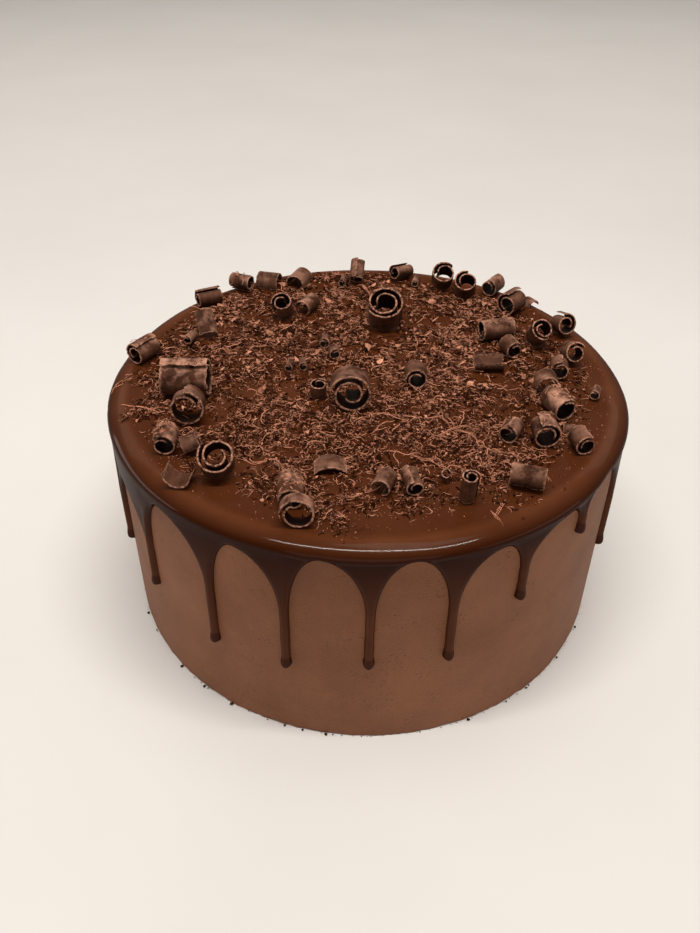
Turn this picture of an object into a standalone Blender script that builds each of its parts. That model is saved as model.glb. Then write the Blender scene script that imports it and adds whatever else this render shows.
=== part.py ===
"""A round chocolate drip cake: a buttercream side, a dark glaze that runs down in drips, and chocolate curls.

Lengths are written in millimetres, and mesh_object turns them into metres. The cake stands on the origin.
The front, where bearing is 0, faces -Y. Bearings run towards +X.
"""

import math
import random
from collections import namedtuple

import bmesh
import bpy
import numpy as np

MM = 0.001

# Driving dimensions
CAKE_RADIUS = 104.2
FOOT_RADIUS = 106.0
CAKE_HEIGHT = 97.5
CAKE_EDGE_ROUNDING = 2.6
BASE_CHAMFER = 0.6
NODE_GAP = 0.3
GLAZE_RADIUS = 106.0
GLAZE_TOP = 99.5
GLAZE_EDGE_ROUNDING = 3.8
ROUND_SIDES = 80
EDGE_STEPS = 3

# The poured glaze stands out and in round the rim: amplitude, waves in a full turn, and phase of each wave
RIM_WAVES = ((0.25, 5, 0.6), (0.2, 9, 2.0))
HEM_HEIGHT = 1.2

# Drips. An arch drops SPRING_DROP to the stem, or SPRING_SHARE of the way to the tip of a short drip
SPRING_DROP = 29.0
SPRING_SHARE = 0.5
STEM_HALF_WIDTH = 1.8
BULB_HALF_WIDTH = 2.2
FUNNEL_THICKNESS = 1.15
STEM_THICKNESS = 2.0
BULB_THICKNESS = 2.5
DRIP_EDGE = 0.25
DRIP_BACK = 0.12
ARCH_FLAT = 0.3
FUNNEL_LEVELS = (0.03, 0.12, 0.3, 0.6, 1.0)
BURIED_TOP = 1.8
BURIED_SHOULDER = 0.8
HIDDEN_DRIP_SPACING = 15.7
HIDDEN_DRIP_LENGTHS = (30.0, 58.0)
HIDDEN_ARCH_HEIGHTS = (90.0, 93.6)
HIDDEN_DRIP_SHIFT = 1.6

# Height above the tip, half width and thickness down the bulb at the end of a drip
BULB = (
    (6.0, STEM_HALF_WIDTH, STEM_THICKNESS),
    (2.2, BULB_HALF_WIDTH, BULB_THICKNESS),
    (0.6, 0.62 * BULB_HALF_WIDTH, 0.75 * BULB_THICKNESS),
    (0.0, 0.2 * BULB_HALF_WIDTH, 0.35 * BULB_THICKNESS),
)

# Curls
SMALLEST_SIDES = 9
SIDES_PER_MM = 0.55
CURL_THICKNESS = 0.5
THICKNESS_PER_RADIUS = 0.08
TIGHTENING = 1.5

# Shreds on the glaze
SHRED_COUNT = 140
SHRED_FIELD = 91.0
SHRED_WIDTH = 1.0
SHRED_LENGTHS = (6.0, 15.0)
SHRED_HEIGHTS = (0.7, 1.5)
SHRED_BEND = 0.9
SHRED_LEAN = 0.6
SHRED_SUNK = 0.4
SHRED_STEPS = 3
SHRED_CLEARANCE = 1.2
SMOOTH_ANGLE = 35

# Bearing and height of each drip's tip, and of the top of the arch that follows it
Drip = namedtuple("Drip", "bearing tip arch_bearing arch_height")
SHOWN_DRIPS = [
    Drip(-68.0, 40.7, -62.6, 80.0),
    Drip(-50.1, 42.4, -43.5, 90.0),
    Drip(-31.1, 36.5, -24.9, 90.6),
    Drip(-14.7, 37.7, -7.6, 93.6),
    Drip(1.7, 42.5, 9.6, 93.7),
    Drip(17.4, 42.7, 26.8, 91.7),
    Drip(32.2, 62.7, 42.9, 92.3),
    Drip(48.0, 78.0, 57.5, 94.4),
    Drip(67.8, 43.8, 76.0, 93.0),
]

# A curl is a strip rolled round a straight axis. x, y: its middle on the cake. heading: the way its mouth faces
# (0 is +X, 270 the front). rise: how far the mouth tips up. start: where the strip's outer edge lies, seen facing
# the mouth (0 right, 90 up). way: 1 winds inwards anticlockwise, -1 clockwise. inner: inner over outer radius.
Curl = namedtuple("Curl", "name x y heading rise radius length turns start way inner")


def curl(name, x, y, heading, rise, radius, length, turns=1.4, start=110, way=-1, inner=0.5):
    return Curl(name, x, y, heading, rise, radius, length, turns, start, way, inner)


CURLS = [
    curl("curl_west_rim", -94.6, 8.5, 238, 0, 5.1, 12.0, 1.5, 60, 1),
    curl("curl_west_wide", -71.7, -17.4, 181, 0, 8.0, 19.3, 1.3, 70, 1, 0.62),
    curl("curl_west_small", -78.0, 23.2, 249, 0, 2.6, 5.9, 1.2),
    curl("curl_west_ring", -67.8, -36.1, 274, 10, 7.2, 7.9, 1.25, 95, -1, 0.62),
    curl("shell_southwest", -63.6, -72.9, 261, 0, 5.4, 8.2, 0.5, 175, 1, 0.95),
    curl("curl_southwest_roll", -72.7, -53.3, 271, 0, 4.9, 10.1, 1.3, 150, -1),
    curl("curl_southwest_narrow", -63.0, -55.3, 16, 20, 3.8, 6.4, 1.6, 200, -1, 0.36),
    curl("curl_southwest_coil", -51.2, -68.0, 275, 55, 6.9, 8.1, 1.8, 130, 1, 0.42),
    curl("curl_northwest_roll", -75.5, 59.0, 210, 0, 4.4, 12.0, 1.3, 80, 1),
    curl("shell_northwest_tile", -72.9, 34.0, 290, -40, 4.6, 12.3, 0.42, 15, 1, 0.95),
    curl("curl_northwest_barrel", -62.4, 74.8, 338, 0, 4.2, 10.8, 1.3, 250, 1, 0.6),
    curl("shell_north_dome", -49.5, 79.9, 348, 0, 5.8, 11.0, 0.55, -5, 1, 0.85),
    curl("shell_north_arch", -35.1, 83.1, 249, 0, 5.3, 11.4, 0.6, -15, 1, 0.8),
    curl("curl_north_west", -39.2, 46.2, 262, 57, 5.1, 9.5, 1.4, 200, -1),
    curl("curl_north_west_flap", -28.3, 54.6, 244, 0, 4.6, 10.6, 0.7, 190, -1, 0.7),
    curl("curl_north_upright", -5.7, 86.7, 265, -40, 4.1, 10.2, 1.3, 90, 1),
    curl("curl_north_small", -13.2, 81.8, 260, 0, 2.5, 5.6, 1.2),
    curl("curl_north_east", 16.2, 90.1, 224, 10, 3.9, 11.7, 1.3, 120, 1),
    curl("curl_north_east_small", 22.7, 83.8, 260, 0, 2.3, 6.6, 1.2),
    curl("curl_feature", 7.1, 41.9, 271, 63, 8.9, 10.5, 2.0, 200, 1, 0.42),
    curl("curl_northeast_ring_a", 36.3, 80.7, 271, 57, 6.2, 8.0, 1.4, 40, 1, 0.55),
    curl("curl_northeast_ring_b", 46.5, 71.9, 263, 60, 6.0, 8.0, 1.4, 80, 1, 0.55),
    curl("curl_northeast_roll_a", 60.0, 76.5, 235, 0, 4.7, 9.6, 1.3, 100, -1),
    curl("curl_northeast_roll_b", 67.1, 57.8, 228, 0, 5.6, 10.6, 1.5, 80, 1),
    curl("shell_northeast_shard", 77.0, 65.1, 303, 0, 3.4, 5.8, 0.45, 10, 1, 0.95),
    curl("curl_east_inner_roll", 56.6, 32.0, 196, 0, 5.0, 15.3, 1.4, 240, 1),
    curl("curl_east_inner_lean", 61.5, 18.1, 292, 0, 4.3, 7.8, 1.2, 60, 1),
    curl("shell_east_boat", 51.0, 6.1, 181, 0, 4.9, 13.4, 0.5, 180, 1, 0.95),
    curl("curl_east_ring_a", 74.8, 26.6, 285, 50, 5.3, 8.0, 1.6, -70, -1, 0.45),
    curl("curl_east_ring_b", 86.4, 36.7, 290, 18, 5.1, 8.2, 1.4, 100, -1),
    curl("curl_east_ring_c", 86.6, 12.4, 280, 24, 4.8, 7.8, 1.3, 20, 1, 0.55),
    curl("curl_east_ring_d", 79.5, 1.3, 261, 5, 4.4, 7.9, 1.2, 80, 1, 0.6),
    curl("curl_east_open", 72.1, -10.7, 272, 0, 5.0, 7.9, 0.75, 190, -1, 0.85),
    curl("curl_east_tiny", 90.9, -14.3, 251, 5, 2.5, 6.0, 1.2),
    curl("curl_east_crumpled", 74.1, -25.6, 292, 0, 5.2, 12.1, 1.2, 40, 1, 0.7),
    curl("shell_east_zigzag", 78.6, -37.1, 352, 0, 2.3, 8.4, 0.5, 0, 1, 0.95),
    curl("curl_southeast_large", 65.7, -44.4, 274, 0, 5.7, 9.1, 1.4, 120, -1, 0.55),
    curl("curl_southeast_back", 53.5, -43.2, 240, 0, 4.3, 7.1, 1.2, 100, -1, 0.6),
    curl("curl_southeast_ring", 78.9, -48.7, 282, 0, 4.4, 8.1, 1.4, 60, 1),
    curl("curl_southeast_barrel", 55.9, -71.1, 344, 0, 4.5, 12.6, 1.4, 250, 1),
    curl("curl_south_roll", -24.6, -80.0, 275, 0, 4.8, 12.3, 1.2, 190, -1, 0.6),
    curl("curl_south_ring", -21.4, -92.6, 270, 4, 6.3, 4.6, 1.25, 200, -1, 0.68),
    curl("shell_south_arch", -12.3, -63.2, 275, 0, 8.3, 8.1, 0.27, 42, 1, 1.0),
    curl("curl_south_shard", 6.8, -74.1, 250, 0, 3.9, 8.2, 0.8, 200, -1, 0.8),
    curl("curl_south_narrow", 16.5, -72.9, 281, 0, 3.6, 10.2, 1.3, 100, 1),
    curl("curl_south_upright", 35.0, -79.3, 271, 84, 3.5, 11.3, 1.6, 0, 1, 0.4),
    curl("curl_centre_upright", -19.0, -17.7, 270, 86, 3.9, 5.9, 1.3, 30, 1, 0.6),
    curl("curl_centre_open", -6.2, -23.8, 272, 5, 8.5, 9.9, 1.9, 180, -1, 0.35),
    curl("curl_centre_ring", 19.9, -6.9, 271, 5, 4.9, 9.9, 1.5, 210, -1),
    curl("curl_centre_small_a", -19.1, 21.8, 270, 0, 2.9, 4.8, 1.2),
    curl("curl_centre_small_b", -14.0, 12.8, 281, 0, 3.0, 4.8, 1.2, 60, 1),
    curl("curl_centre_pair_a", -32.8, 2.1, 265, 0, 2.3, 4.9, 1.2),
    curl("curl_centre_pair_b", -26.7, 3.2, 275, 0, 2.3, 4.9, 1.2, 60, 1),
    curl("curl_south_loop", 28.0, -68.6, 271, 45, 2.0, 4.1, 0.9, 0, 1, 0.8),
]

# Colours as linear red, green and blue
Finish = namedtuple("Finish", "name colour roughness coat")
BUTTERCREAM = Finish("chocolate_buttercream", (0.190, 0.095, 0.060), 0.75, 0.0)
GLAZE = Finish("dark_chocolate_glaze", (0.060, 0.022, 0.012), 0.22, 0.5)
CURL_CHOCOLATE = Finish("curl_chocolate", (0.055, 0.026, 0.018), 0.45, 0.0)


def clear_scene():
    for obj in list(bpy.data.objects):
        bpy.data.objects.remove(obj, do_unlink=True)


def material(finish):
    made = bpy.data.materials.get(finish.name)
    if made is None:
        made = bpy.data.materials.new(finish.name)
        made.use_nodes = True
        shader = made.node_tree.nodes["Principled BSDF"]
        shader.inputs["Base Color"].default_value = (*finish.colour, 1.0)
        shader.inputs["Roughness"].default_value = finish.roughness
        shader.inputs["Metallic"].default_value = 0.0
        shader.inputs["Coat Weight"].default_value = finish.coat
    return made


def mesh_object(name, rings, finish):
    """One closed solid through rings of equally many points, with a flat face over the first and the last."""
    bm = bmesh.new()
    loops = [[bm.verts.new(np.asarray(point) * MM) for point in ring] for ring in rings]
    for near, far in zip(loops, loops[1:]):
        for k in range(len(near)):
            after = (k + 1) % len(near)
            bm.faces.new((near[k], near[after], far[after], far[k]))
    bm.faces.new(loops[0])
    bm.faces.new(loops[-1])
    bmesh.ops.recalc_face_normals(bm, faces=bm.faces)
    mesh = bpy.data.meshes.new(name)
    bm.to_mesh(mesh)
    bm.free()
    mesh.shade_smooth()
    mesh.set_sharp_from_angle(angle=math.radians(SMOOTH_ANGLE))
    mesh.materials.append(material(finish))
    obj = bpy.data.objects.new(name, mesh)
    bpy.context.scene.collection.objects.link(obj)
    return obj


def on_side(bearing, radius, height):
    """The point at a bearing in degrees from the front."""
    angle = math.radians(bearing)
    return (radius * math.sin(angle), -radius * math.cos(angle), height)


def rounded_edge(radius, top, rounding):
    """(radius, height) points of a quarter round, from the side up to the top."""
    angles = [math.pi / 2 * k / EDGE_STEPS for k in range(EDGE_STEPS + 1)]
    return [
        (radius - rounding + rounding * math.cos(a), top - rounding + rounding * math.sin(a))
        for a in angles
    ]


def turned_ring(radius, height, swell=0.0):
    """Points round the cake's axis. swell is the share of the glaze's uneven bulge that the ring takes."""
    bearings = [360 * k / ROUND_SIDES for k in range(ROUND_SIDES)]
    return [on_side(b, radius + swell * rim_bulge(b), height) for b in bearings]


def rim_bulge(bearing):
    """How far the poured glaze stands out or in at a bearing."""
    angle = math.radians(bearing)
    return sum(height * math.sin(waves * angle + phase) for height, waves, phase in RIM_WAVES)


def side_radius(height):
    """The buttercream's side leans in a little from the foot to where the top edge's rounding begins."""
    share = min(height / (CAKE_HEIGHT - CAKE_EDGE_ROUNDING), 1.0)
    return FOOT_RADIUS + (CAKE_RADIUS - FOOT_RADIUS) * share


def cake_body():
    profile = [(FOOT_RADIUS - BASE_CHAMFER, 0.0), (side_radius(BASE_CHAMFER), BASE_CHAMFER)]
    profile += rounded_edge(CAKE_RADIUS, CAKE_HEIGHT, CAKE_EDGE_ROUNDING)
    return mesh_object("cake_body", [turned_ring(r, z) for r, z in profile], BUTTERCREAM)


def all_drips():
    """The drips that show, and like ones round the back, where each arch lies halfway between two drips."""
    chance = random.Random(11)
    first = SHOWN_DRIPS[-1].bearing
    span = 360 + SHOWN_DRIPS[0].bearing - first
    count = round(span / HIDDEN_DRIP_SPACING) - 1
    step = span / (count + 1)
    shifts = [chance.uniform(-HIDDEN_DRIP_SHIFT, HIDDEN_DRIP_SHIFT) for _ in range(count)]
    bearings = [first + step * (k + 1) + shift for k, shift in enumerate(shifts)]
    ends = bearings[1:] + [360 + SHOWN_DRIPS[0].bearing]
    drips = list(SHOWN_DRIPS)
    for bearing, following in zip(bearings, ends):
        arch = (bearing + following) / 2
        height = chance.uniform(*HIDDEN_ARCH_HEIGHTS)
        drips.append(Drip(bearing, height - chance.uniform(*HIDDEN_DRIP_LENGTHS), arch, height))
    return drips


def apron_height(bearing, drips):
    """Height of the glaze's lower edge at a bearing, as a line through the tops of the arches."""
    arches = [(d.arch_bearing, d.arch_height) for d in drips]
    tops = [(b - 360, h) for b, h in arches] + arches + [(b + 360, h) for b, h in arches]
    tops.sort()
    return float(np.interp(bearing, [b for b, _ in tops], [h for _, h in tops]))


def glaze_cap(drips):
    """The skin over the top and the rounded rim, down to the tops of the arches."""
    inner_radius = CAKE_RADIUS + NODE_GAP
    inner_top = CAKE_HEIGHT + NODE_GAP
    inner = rounded_edge(inner_radius, inner_top, CAKE_EDGE_ROUNDING + NODE_GAP)
    outer = rounded_edge(GLAZE_RADIUS, GLAZE_TOP, GLAZE_EDGE_ROUNDING)
    bearings = [360 * k / ROUND_SIDES for k in range(ROUND_SIDES)]
    edge = [apron_height(b, drips) for b in bearings]
    rings = [turned_ring(r, z) for r, z in reversed(inner)]
    rings.append([on_side(b, side_radius(z) + NODE_GAP, z) for b, z in zip(bearings, edge)])
    rings.append(
        [on_side(b, GLAZE_RADIUS + rim_bulge(b), z + HEM_HEIGHT) for b, z in zip(bearings, edge)]
    )
    for k, (r, z) in enumerate(outer):
        rings.append(turned_ring(r, z, 1 - k / EDGE_STEPS))
    return mesh_object("ganache_glaze", rings, GLAZE)


def spring_drop(arch_height, tip):
    """How far an arch falls from its top to where the stem becomes straight."""
    return min(SPRING_DROP, SPRING_SHARE * (arch_height - tip))


def funnel_half_width(height, arch_height, half_spacing, tip):
    """Half the width of a drip on one side: a quarter ellipse from the arch's top down to the straight stem."""
    below = min(max((arch_height - height) / spring_drop(arch_height, tip), 0.0), 1.0)
    reach = 1 - math.sqrt(1 - (1 - below) ** 2)
    return STEM_HALF_WIDTH + (half_spacing - STEM_HALF_WIDTH) * reach


def drip_ring(drip, height, left, right, back, thickness, swell=0.0):
    """Six points round a drip at one height: a thin edge at each side, two on its face and two on its back."""
    inner = side_radius(height) + NODE_GAP
    bow = inner * (1 / math.cos(0.5 * max(left, right) / inner) - 1)
    across = [
        (-left, back + DRIP_EDGE),
        (-0.55 * left, thickness),
        (0.55 * right, thickness),
        (right, back + DRIP_EDGE),
        (0.5 * right, back + bow),
        (-0.5 * left, back + bow),
    ]
    ring = []
    for k, (along, out) in enumerate(across):
        bearing = drip.bearing + math.degrees(along / inner)
        bulge = swell * rim_bulge(bearing) if k in (1, 2) else 0.0
        ring.append(on_side(bearing, inner + out + bulge, height))
    return ring


def drip_solid(drip, before):
    """A funnel that narrows into a stem with a round bulb. Its top is buried in the glaze's lower edge."""
    inner = CAKE_RADIUS + NODE_GAP
    left_span = math.radians(drip.bearing - before.arch_bearing) * inner - ARCH_FLAT
    right_span = math.radians(drip.arch_bearing - drip.bearing) * inner - ARCH_FLAT
    top = max(before.arch_height, drip.arch_height)
    low_arch = min(before.arch_height, drip.arch_height)
    depth = top - low_arch + spring_drop(low_arch, drip.tip)
    near, far = 0.4 * left_span, 0.4 * right_span
    rings = [drip_ring(drip, top + BURIED_TOP, near, far, 0.3, 0.75 * FUNNEL_THICKNESS, 0.75)]
    levels = [(top + BURIED_SHOULDER, FUNNEL_THICKNESS, 1.0)]
    for share in FUNNEL_LEVELS:
        thickness = FUNNEL_THICKNESS + share * (STEM_THICKNESS - FUNNEL_THICKNESS)
        levels.append((top - share * depth, thickness, 1 - share))
    for height, thickness, swell in levels:
        left = funnel_half_width(height, before.arch_height, left_span, drip.tip)
        right = funnel_half_width(height, drip.arch_height, right_span, drip.tip)
        rings.append(drip_ring(drip, height, left, right, DRIP_BACK, thickness, swell))
    for rise, half_width, thickness in BULB:
        rings.append(drip_ring(drip, drip.tip + rise, half_width, half_width, DRIP_BACK, thickness))
    return mesh_object("drip", rings, GLAZE)


def curl_axes(item):
    """The curl's axis towards its mouth, and the directions to the right and up for someone facing the mouth."""
    heading = math.radians(item.heading)
    rise = math.radians(item.rise)
    flat = np.array([math.cos(heading), math.sin(heading), 0.0])
    axis = flat * math.cos(rise) + np.array([0.0, 0.0, math.sin(rise)])
    right = np.array([-math.sin(heading), math.cos(heading), 0.0])
    up = np.cross(right, -axis)
    return axis, right, up


def curl_solid(item):
    """A strip of chocolate rolled up: a rectangle swept along a spiral, its corners just outside the true round."""
    axis, right, up = curl_axes(item)
    sides = max(SMALLEST_SIDES, round(SMALLEST_SIDES + SIDES_PER_MM * (item.radius - 4.0)))
    steps = max(3, round(item.turns * sides))
    thickness = CURL_THICKNESS + THICKNESS_PER_RADIUS * item.radius
    corner = 1 / math.cos(math.pi / sides)
    rings = []
    for k in range(steps + 1):
        share = k / steps
        angle = math.radians(item.start) + item.way * 2 * math.pi * item.turns * share
        across = math.cos(angle) * right + math.sin(angle) * up
        outer = item.radius * (1 - (1 - item.inner) * share**TIGHTENING) * corner
        half = axis * item.length / 2
        rings.append(
            [
                across * outer - half,
                across * outer + half,
                across * (outer - thickness) + half,
                across * (outer - thickness) - half,
            ]
        )
    lowest = min(point[2] for ring in rings for point in ring)
    shift = np.array([item.x, item.y, GLAZE_TOP + NODE_GAP - lowest])
    rings = [[point + shift for point in ring] for ring in rings]
    return mesh_object(item.name, rings, CURL_CHOCOLATE)


def near_curl(x, y):
    """Whether a point of the top lies under a curl or closer to it than the clearance."""
    for item in CURLS:
        axis, right, _ = curl_axes(item)
        flat = np.array([math.cos(math.radians(item.heading)), math.sin(math.radians(item.heading))])
        offset = np.array([x - item.x, y - item.y])
        rise = abs(axis[2])
        level = math.sqrt(1 - rise * rise)
        along = item.length / 2 * level + item.radius * rise + SHRED_CLEARANCE
        if abs(offset @ flat) < along and abs(offset @ right[:2]) < item.radius + SHRED_CLEARANCE:
            return True
    return False


def shred_path(x, y, heading, length, bend):
    """Points along a bent strip that starts at x, y."""
    points = [(x, y)]
    for _ in range(SHRED_STEPS):
        x += length / SHRED_STEPS * math.cos(heading)
        y += length / SHRED_STEPS * math.sin(heading)
        heading += bend
        points.append((x, y))
    return points


def shred_solid(path, heights, lean):
    """A strip with a raised ridge, sunk a little into the glaze so that the two join."""
    rings = []
    for k, (x, y) in enumerate(path):
        before = path[max(k - 1, 0)]
        after = path[min(k + 1, len(path) - 1)]
        run = math.atan2(after[1] - before[1], after[0] - before[0])
        side = np.array([-math.sin(run), math.cos(run)])
        half = SHRED_WIDTH / 2 * (0.55 if k in (0, len(path) - 1) else 1.0)
        left = np.array([x, y]) + side * half
        right = np.array([x, y]) - side * half
        ridge = np.array([x, y]) + side * half * lean
        low = GLAZE_TOP - SHRED_SUNK
        rings.append([(*left, low), (*right, low), (*ridge, GLAZE_TOP + heights[k])])
    return mesh_object("shred", rings, GLAZE)


def shreds():
    """Strips spread evenly by a sunflower rule, skipping the curls."""
    chance = random.Random(7)
    golden = math.pi * (3 - math.sqrt(5))
    made = []
    for k in range(SHRED_COUNT):
        radius = SHRED_FIELD * math.sqrt((k + 0.5) / SHRED_COUNT)
        x = radius * math.cos(k * golden)
        y = radius * math.sin(k * golden)
        heading = chance.uniform(0, 2 * math.pi)
        length = chance.uniform(*SHRED_LENGTHS)
        bend = chance.uniform(-SHRED_BEND, SHRED_BEND)
        heights = [chance.uniform(*SHRED_HEIGHTS) for _ in range(SHRED_STEPS + 1)]
        lean = chance.uniform(-SHRED_LEAN, SHRED_LEAN)
        path = shred_path(x, y, heading, length, bend)
        between = [tuple((np.array(a) + np.array(b)) / 2) for a, b in zip(path, path[1:])]
        if any(near_curl(*point) or math.hypot(*point) > SHRED_FIELD + 3 for point in path + between):
            continue
        made.append(shred_solid(path, heights, lean))
    return made


def join(target, pieces):
    """Fuses the pieces to the target by one Boolean union and removes them."""
    fused = bpy.data.collections.new("fused")
    bpy.context.scene.collection.children.link(fused)
    for piece in pieces:
        bpy.context.scene.collection.objects.unlink(piece)
        fused.objects.link(piece)
    union = target.modifiers.new("union", "BOOLEAN")
    union.operation = "UNION"
    union.operand_type = "COLLECTION"
    union.collection = fused
    union.solver = "EXACT"
    bpy.context.view_layer.objects.active = target
    bpy.ops.object.modifier_apply(modifier=union.name)
    for piece in pieces:
        bpy.data.objects.remove(piece, do_unlink=True)
    bpy.data.collections.remove(fused)
    target.data.shade_smooth()
    target.data.set_sharp_from_angle(angle=math.radians(SMOOTH_ANGLE))


def ganache_glaze():
    drips = all_drips()
    cap = glaze_cap(drips)
    before = [drips[-1]._replace(arch_bearing=drips[-1].arch_bearing - 360)] + drips[:-1]
    pieces = [drip_solid(drip, earlier) for drip, earlier in zip(drips, before)]
    pieces += shreds()
    join(cap, pieces)
    return cap


def main():
    clear_scene()
    cake_body()
    ganache_glaze()
    for item in CURLS:
        curl_solid(item)


main()
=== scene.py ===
# %% [markdown]
# # Chocolate drip cake
# A tall round cake: a matt buttercream side, a dark glossy glaze poured over the top so that it runs down in
# drips, rolled chocolate curls near the rim and a bed of fine chocolate shavings over the middle.
#
# This lesson dresses the solid model of the cake. Every cell makes one thing, and each surface is worked out
# with numpy as a whole array of points, because a cake is mostly round, thin and uneven, and a formula says
# that best. Lengths are written in millimetres and turned into metres in one place.

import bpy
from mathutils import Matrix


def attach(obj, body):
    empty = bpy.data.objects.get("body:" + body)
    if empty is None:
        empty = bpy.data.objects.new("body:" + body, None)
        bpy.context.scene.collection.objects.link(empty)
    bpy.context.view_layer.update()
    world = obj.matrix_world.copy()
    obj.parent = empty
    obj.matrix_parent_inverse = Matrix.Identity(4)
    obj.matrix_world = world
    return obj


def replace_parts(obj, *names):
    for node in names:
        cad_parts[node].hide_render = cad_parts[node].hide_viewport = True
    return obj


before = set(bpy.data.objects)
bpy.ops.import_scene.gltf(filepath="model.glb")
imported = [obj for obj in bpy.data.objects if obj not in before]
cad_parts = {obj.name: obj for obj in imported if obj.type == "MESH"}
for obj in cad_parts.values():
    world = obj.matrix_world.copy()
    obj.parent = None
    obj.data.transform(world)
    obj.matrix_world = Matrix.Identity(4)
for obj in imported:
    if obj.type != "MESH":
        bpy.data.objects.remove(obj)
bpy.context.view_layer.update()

import math
import random
from collections import namedtuple

import bpy
import numpy as np
from mathutils import Matrix, Vector

MM = 0.001

# %% [markdown]
# ## From an array to a mesh
# A grid of points becomes a mesh when each little square of neighbours becomes a face. Where a grid closes to
# one point, at a pole or a tip, a square has lost a corner and is really a triangle. The helper sorts the two
# kinds and hands Blender whole arrays, which is hundreds of times faster than adding one vertex after
# another.

# %% Mesh helpers
def mesh_piece(name, points, squares, material, attributes=(), strip_map=None):
    """A smooth mesh object from points in mm and rows of four corner numbers. A row that repeats a corner
    makes a triangle, and one that repeats two makes nothing."""
    squares = np.asarray(squares, np.int64).reshape(-1, 4)
    repeated = squares == np.roll(squares, -1, axis=1)
    whole = squares[~repeated.any(1)]
    partly = repeated.sum(1) == 1
    triangles = squares[partly][~repeated[partly]].reshape(-1, 3)
    corners = np.concatenate([whole.ravel(), triangles.ravel()]).astype(np.int32)
    starts = np.concatenate([np.arange(len(whole)) * 4, len(whole) * 4 + np.arange(len(triangles)) * 3])
    mesh = bpy.data.meshes.new(name)
    mesh.vertices.add(len(points))
    mesh.vertices.foreach_set("co", (np.asarray(points) * MM).astype(np.float32).ravel())
    mesh.loops.add(len(corners))
    mesh.loops.foreach_set("vertex_index", corners)
    mesh.polygons.add(len(starts))
    mesh.polygons.foreach_set("loop_start", starts.astype(np.int32))
    mesh.update(calc_edges=True)
    mesh.shade_smooth()
    for key, values in dict(attributes).items():
        layer = mesh.attributes.new(key, "FLOAT", "POINT")
        layer.data.foreach_set("value", np.asarray(values, np.float32).ravel())
    if strip_map is not None:
        layer = mesh.uv_layers.new(name="strip")
        layer.data.foreach_set("uv", np.asarray(strip_map, np.float32)[corners].ravel())
    mesh.materials.append(material)
    obj = bpy.data.objects.new(name, mesh)
    bpy.context.scene.collection.objects.link(obj)
    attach(obj, "root")
    print(f"{name}: {len(points)} points, {2 * len(whole) + len(triangles)} triangles")
    return obj


def grid_squares(index, around=False):
    """The squares between the rows and columns of an array of point numbers. around joins the last column
    to the first."""
    if around:
        index = np.concatenate([index, index[..., :1]], axis=-1)
    a, b = index[..., :-1, :-1], index[..., :-1, 1:]
    c, d = index[..., 1:, 1:], index[..., 1:, :-1]
    return np.stack([a, b, c, d], axis=-1).reshape(-1, 4)


def on_side(bearing, radius, height):
    """Points at bearings in degrees round the cake: 0 is the front, which faces -Y, and 90 is +X."""
    angle = np.radians(bearing)
    return np.stack(np.broadcast_arrays(radius * np.sin(angle), -radius * np.cos(angle), height), axis=-1)


def smooth(share):
    """A step from 0 to 1 that starts and ends level: three times the square less twice the cube."""
    return share * share * (3 - 2 * share)


def soft_noise(x, y, seed, wrap=0):
    """Smooth hills between -1 and 1: random heights on a square lattice, blended with a smooth step. wrap
    is the number of lattice cells after which x repeats, so that noise closes round the cake."""
    lattice = np.random.default_rng(seed).uniform(-1, 1, (256, 256))
    column, row = np.floor(x).astype(int), np.floor(y).astype(int)
    s, t = smooth(x - column), smooth(y - row)
    left, right = (column % wrap, (column + 1) % wrap) if wrap else (column % 256, (column + 1) % 256)
    low = lattice[left, row % 256] * (1 - s) + lattice[right, row % 256] * s
    high = lattice[left, (row + 1) % 256] * (1 - s) + lattice[right, (row + 1) % 256] * s
    return low * (1 - t) + high * t


# %% [markdown]
# ## Building blocks for materials
# A material here is a small network that turns a place on the cake into a colour, a roughness and a height.
# Parts that several materials share are node groups with named inputs, so that one kind of mottling or grain
# is made once and tuned by numbers. Places come from Object coordinates, which are metres on the cake itself,
# so a scale of 100 gives spots about a hundredth of a metre across.

# %% Node helpers
def add_node(tree, kind, **settings):
    made = tree.nodes.new(kind)
    for key, value in settings.items():
        setattr(made, key, value)
    return made


def fill(tree, socket, value):
    """Joins an input to another node's output, or sets it where the value is a plain number or colour."""
    if isinstance(value, bpy.types.NodeSocket):
        tree.links.new(value, socket)
    else:
        socket.default_value = value


def feed(tree, made, **values):
    """Fills a node's inputs by name, with an underscore for a space."""
    for key, value in values.items():
        fill(tree, made.inputs[key.replace("_", " ")], value)
    return made


def noise(tree, scale, detail=2.0, roughness=0.5, place=None):
    """Soft random hills from 0 to 1, each about 1 / scale metres across."""
    if place is None:
        place = add_node(tree, "ShaderNodeTexCoord").outputs["Object"]
    made = add_node(tree, "ShaderNodeTexNoise")
    return feed(tree, made, Vector=place, Scale=scale, Detail=detail, Roughness=roughness).outputs["Fac"]


def spread(tree, value, low, high, to_low=0.0, to_high=1.0):
    """A straight line that takes low to to_low and high to to_high, and is level beyond both."""
    made = add_node(tree, "ShaderNodeMapRange")
    feed(tree, made, Value=value, From_Min=low, From_Max=high, To_Min=to_low, To_Max=to_high)
    return made.outputs["Result"]


def calculate(tree, operation, *values, clamp=False):
    made = add_node(tree, "ShaderNodeMath", operation=operation, use_clamp=clamp)
    for socket, value in zip(made.inputs, values):
        fill(tree, socket, value)
    return made.outputs[0]


def blend(tree, share, first, second, **settings):
    """The first colour where share is 0, and the second where it is 1."""
    made = add_node(tree, "ShaderNodeMix", data_type="RGBA", **settings)
    return feed(tree, made, Factor=share, A=first, B=second).outputs["Result"]


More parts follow.
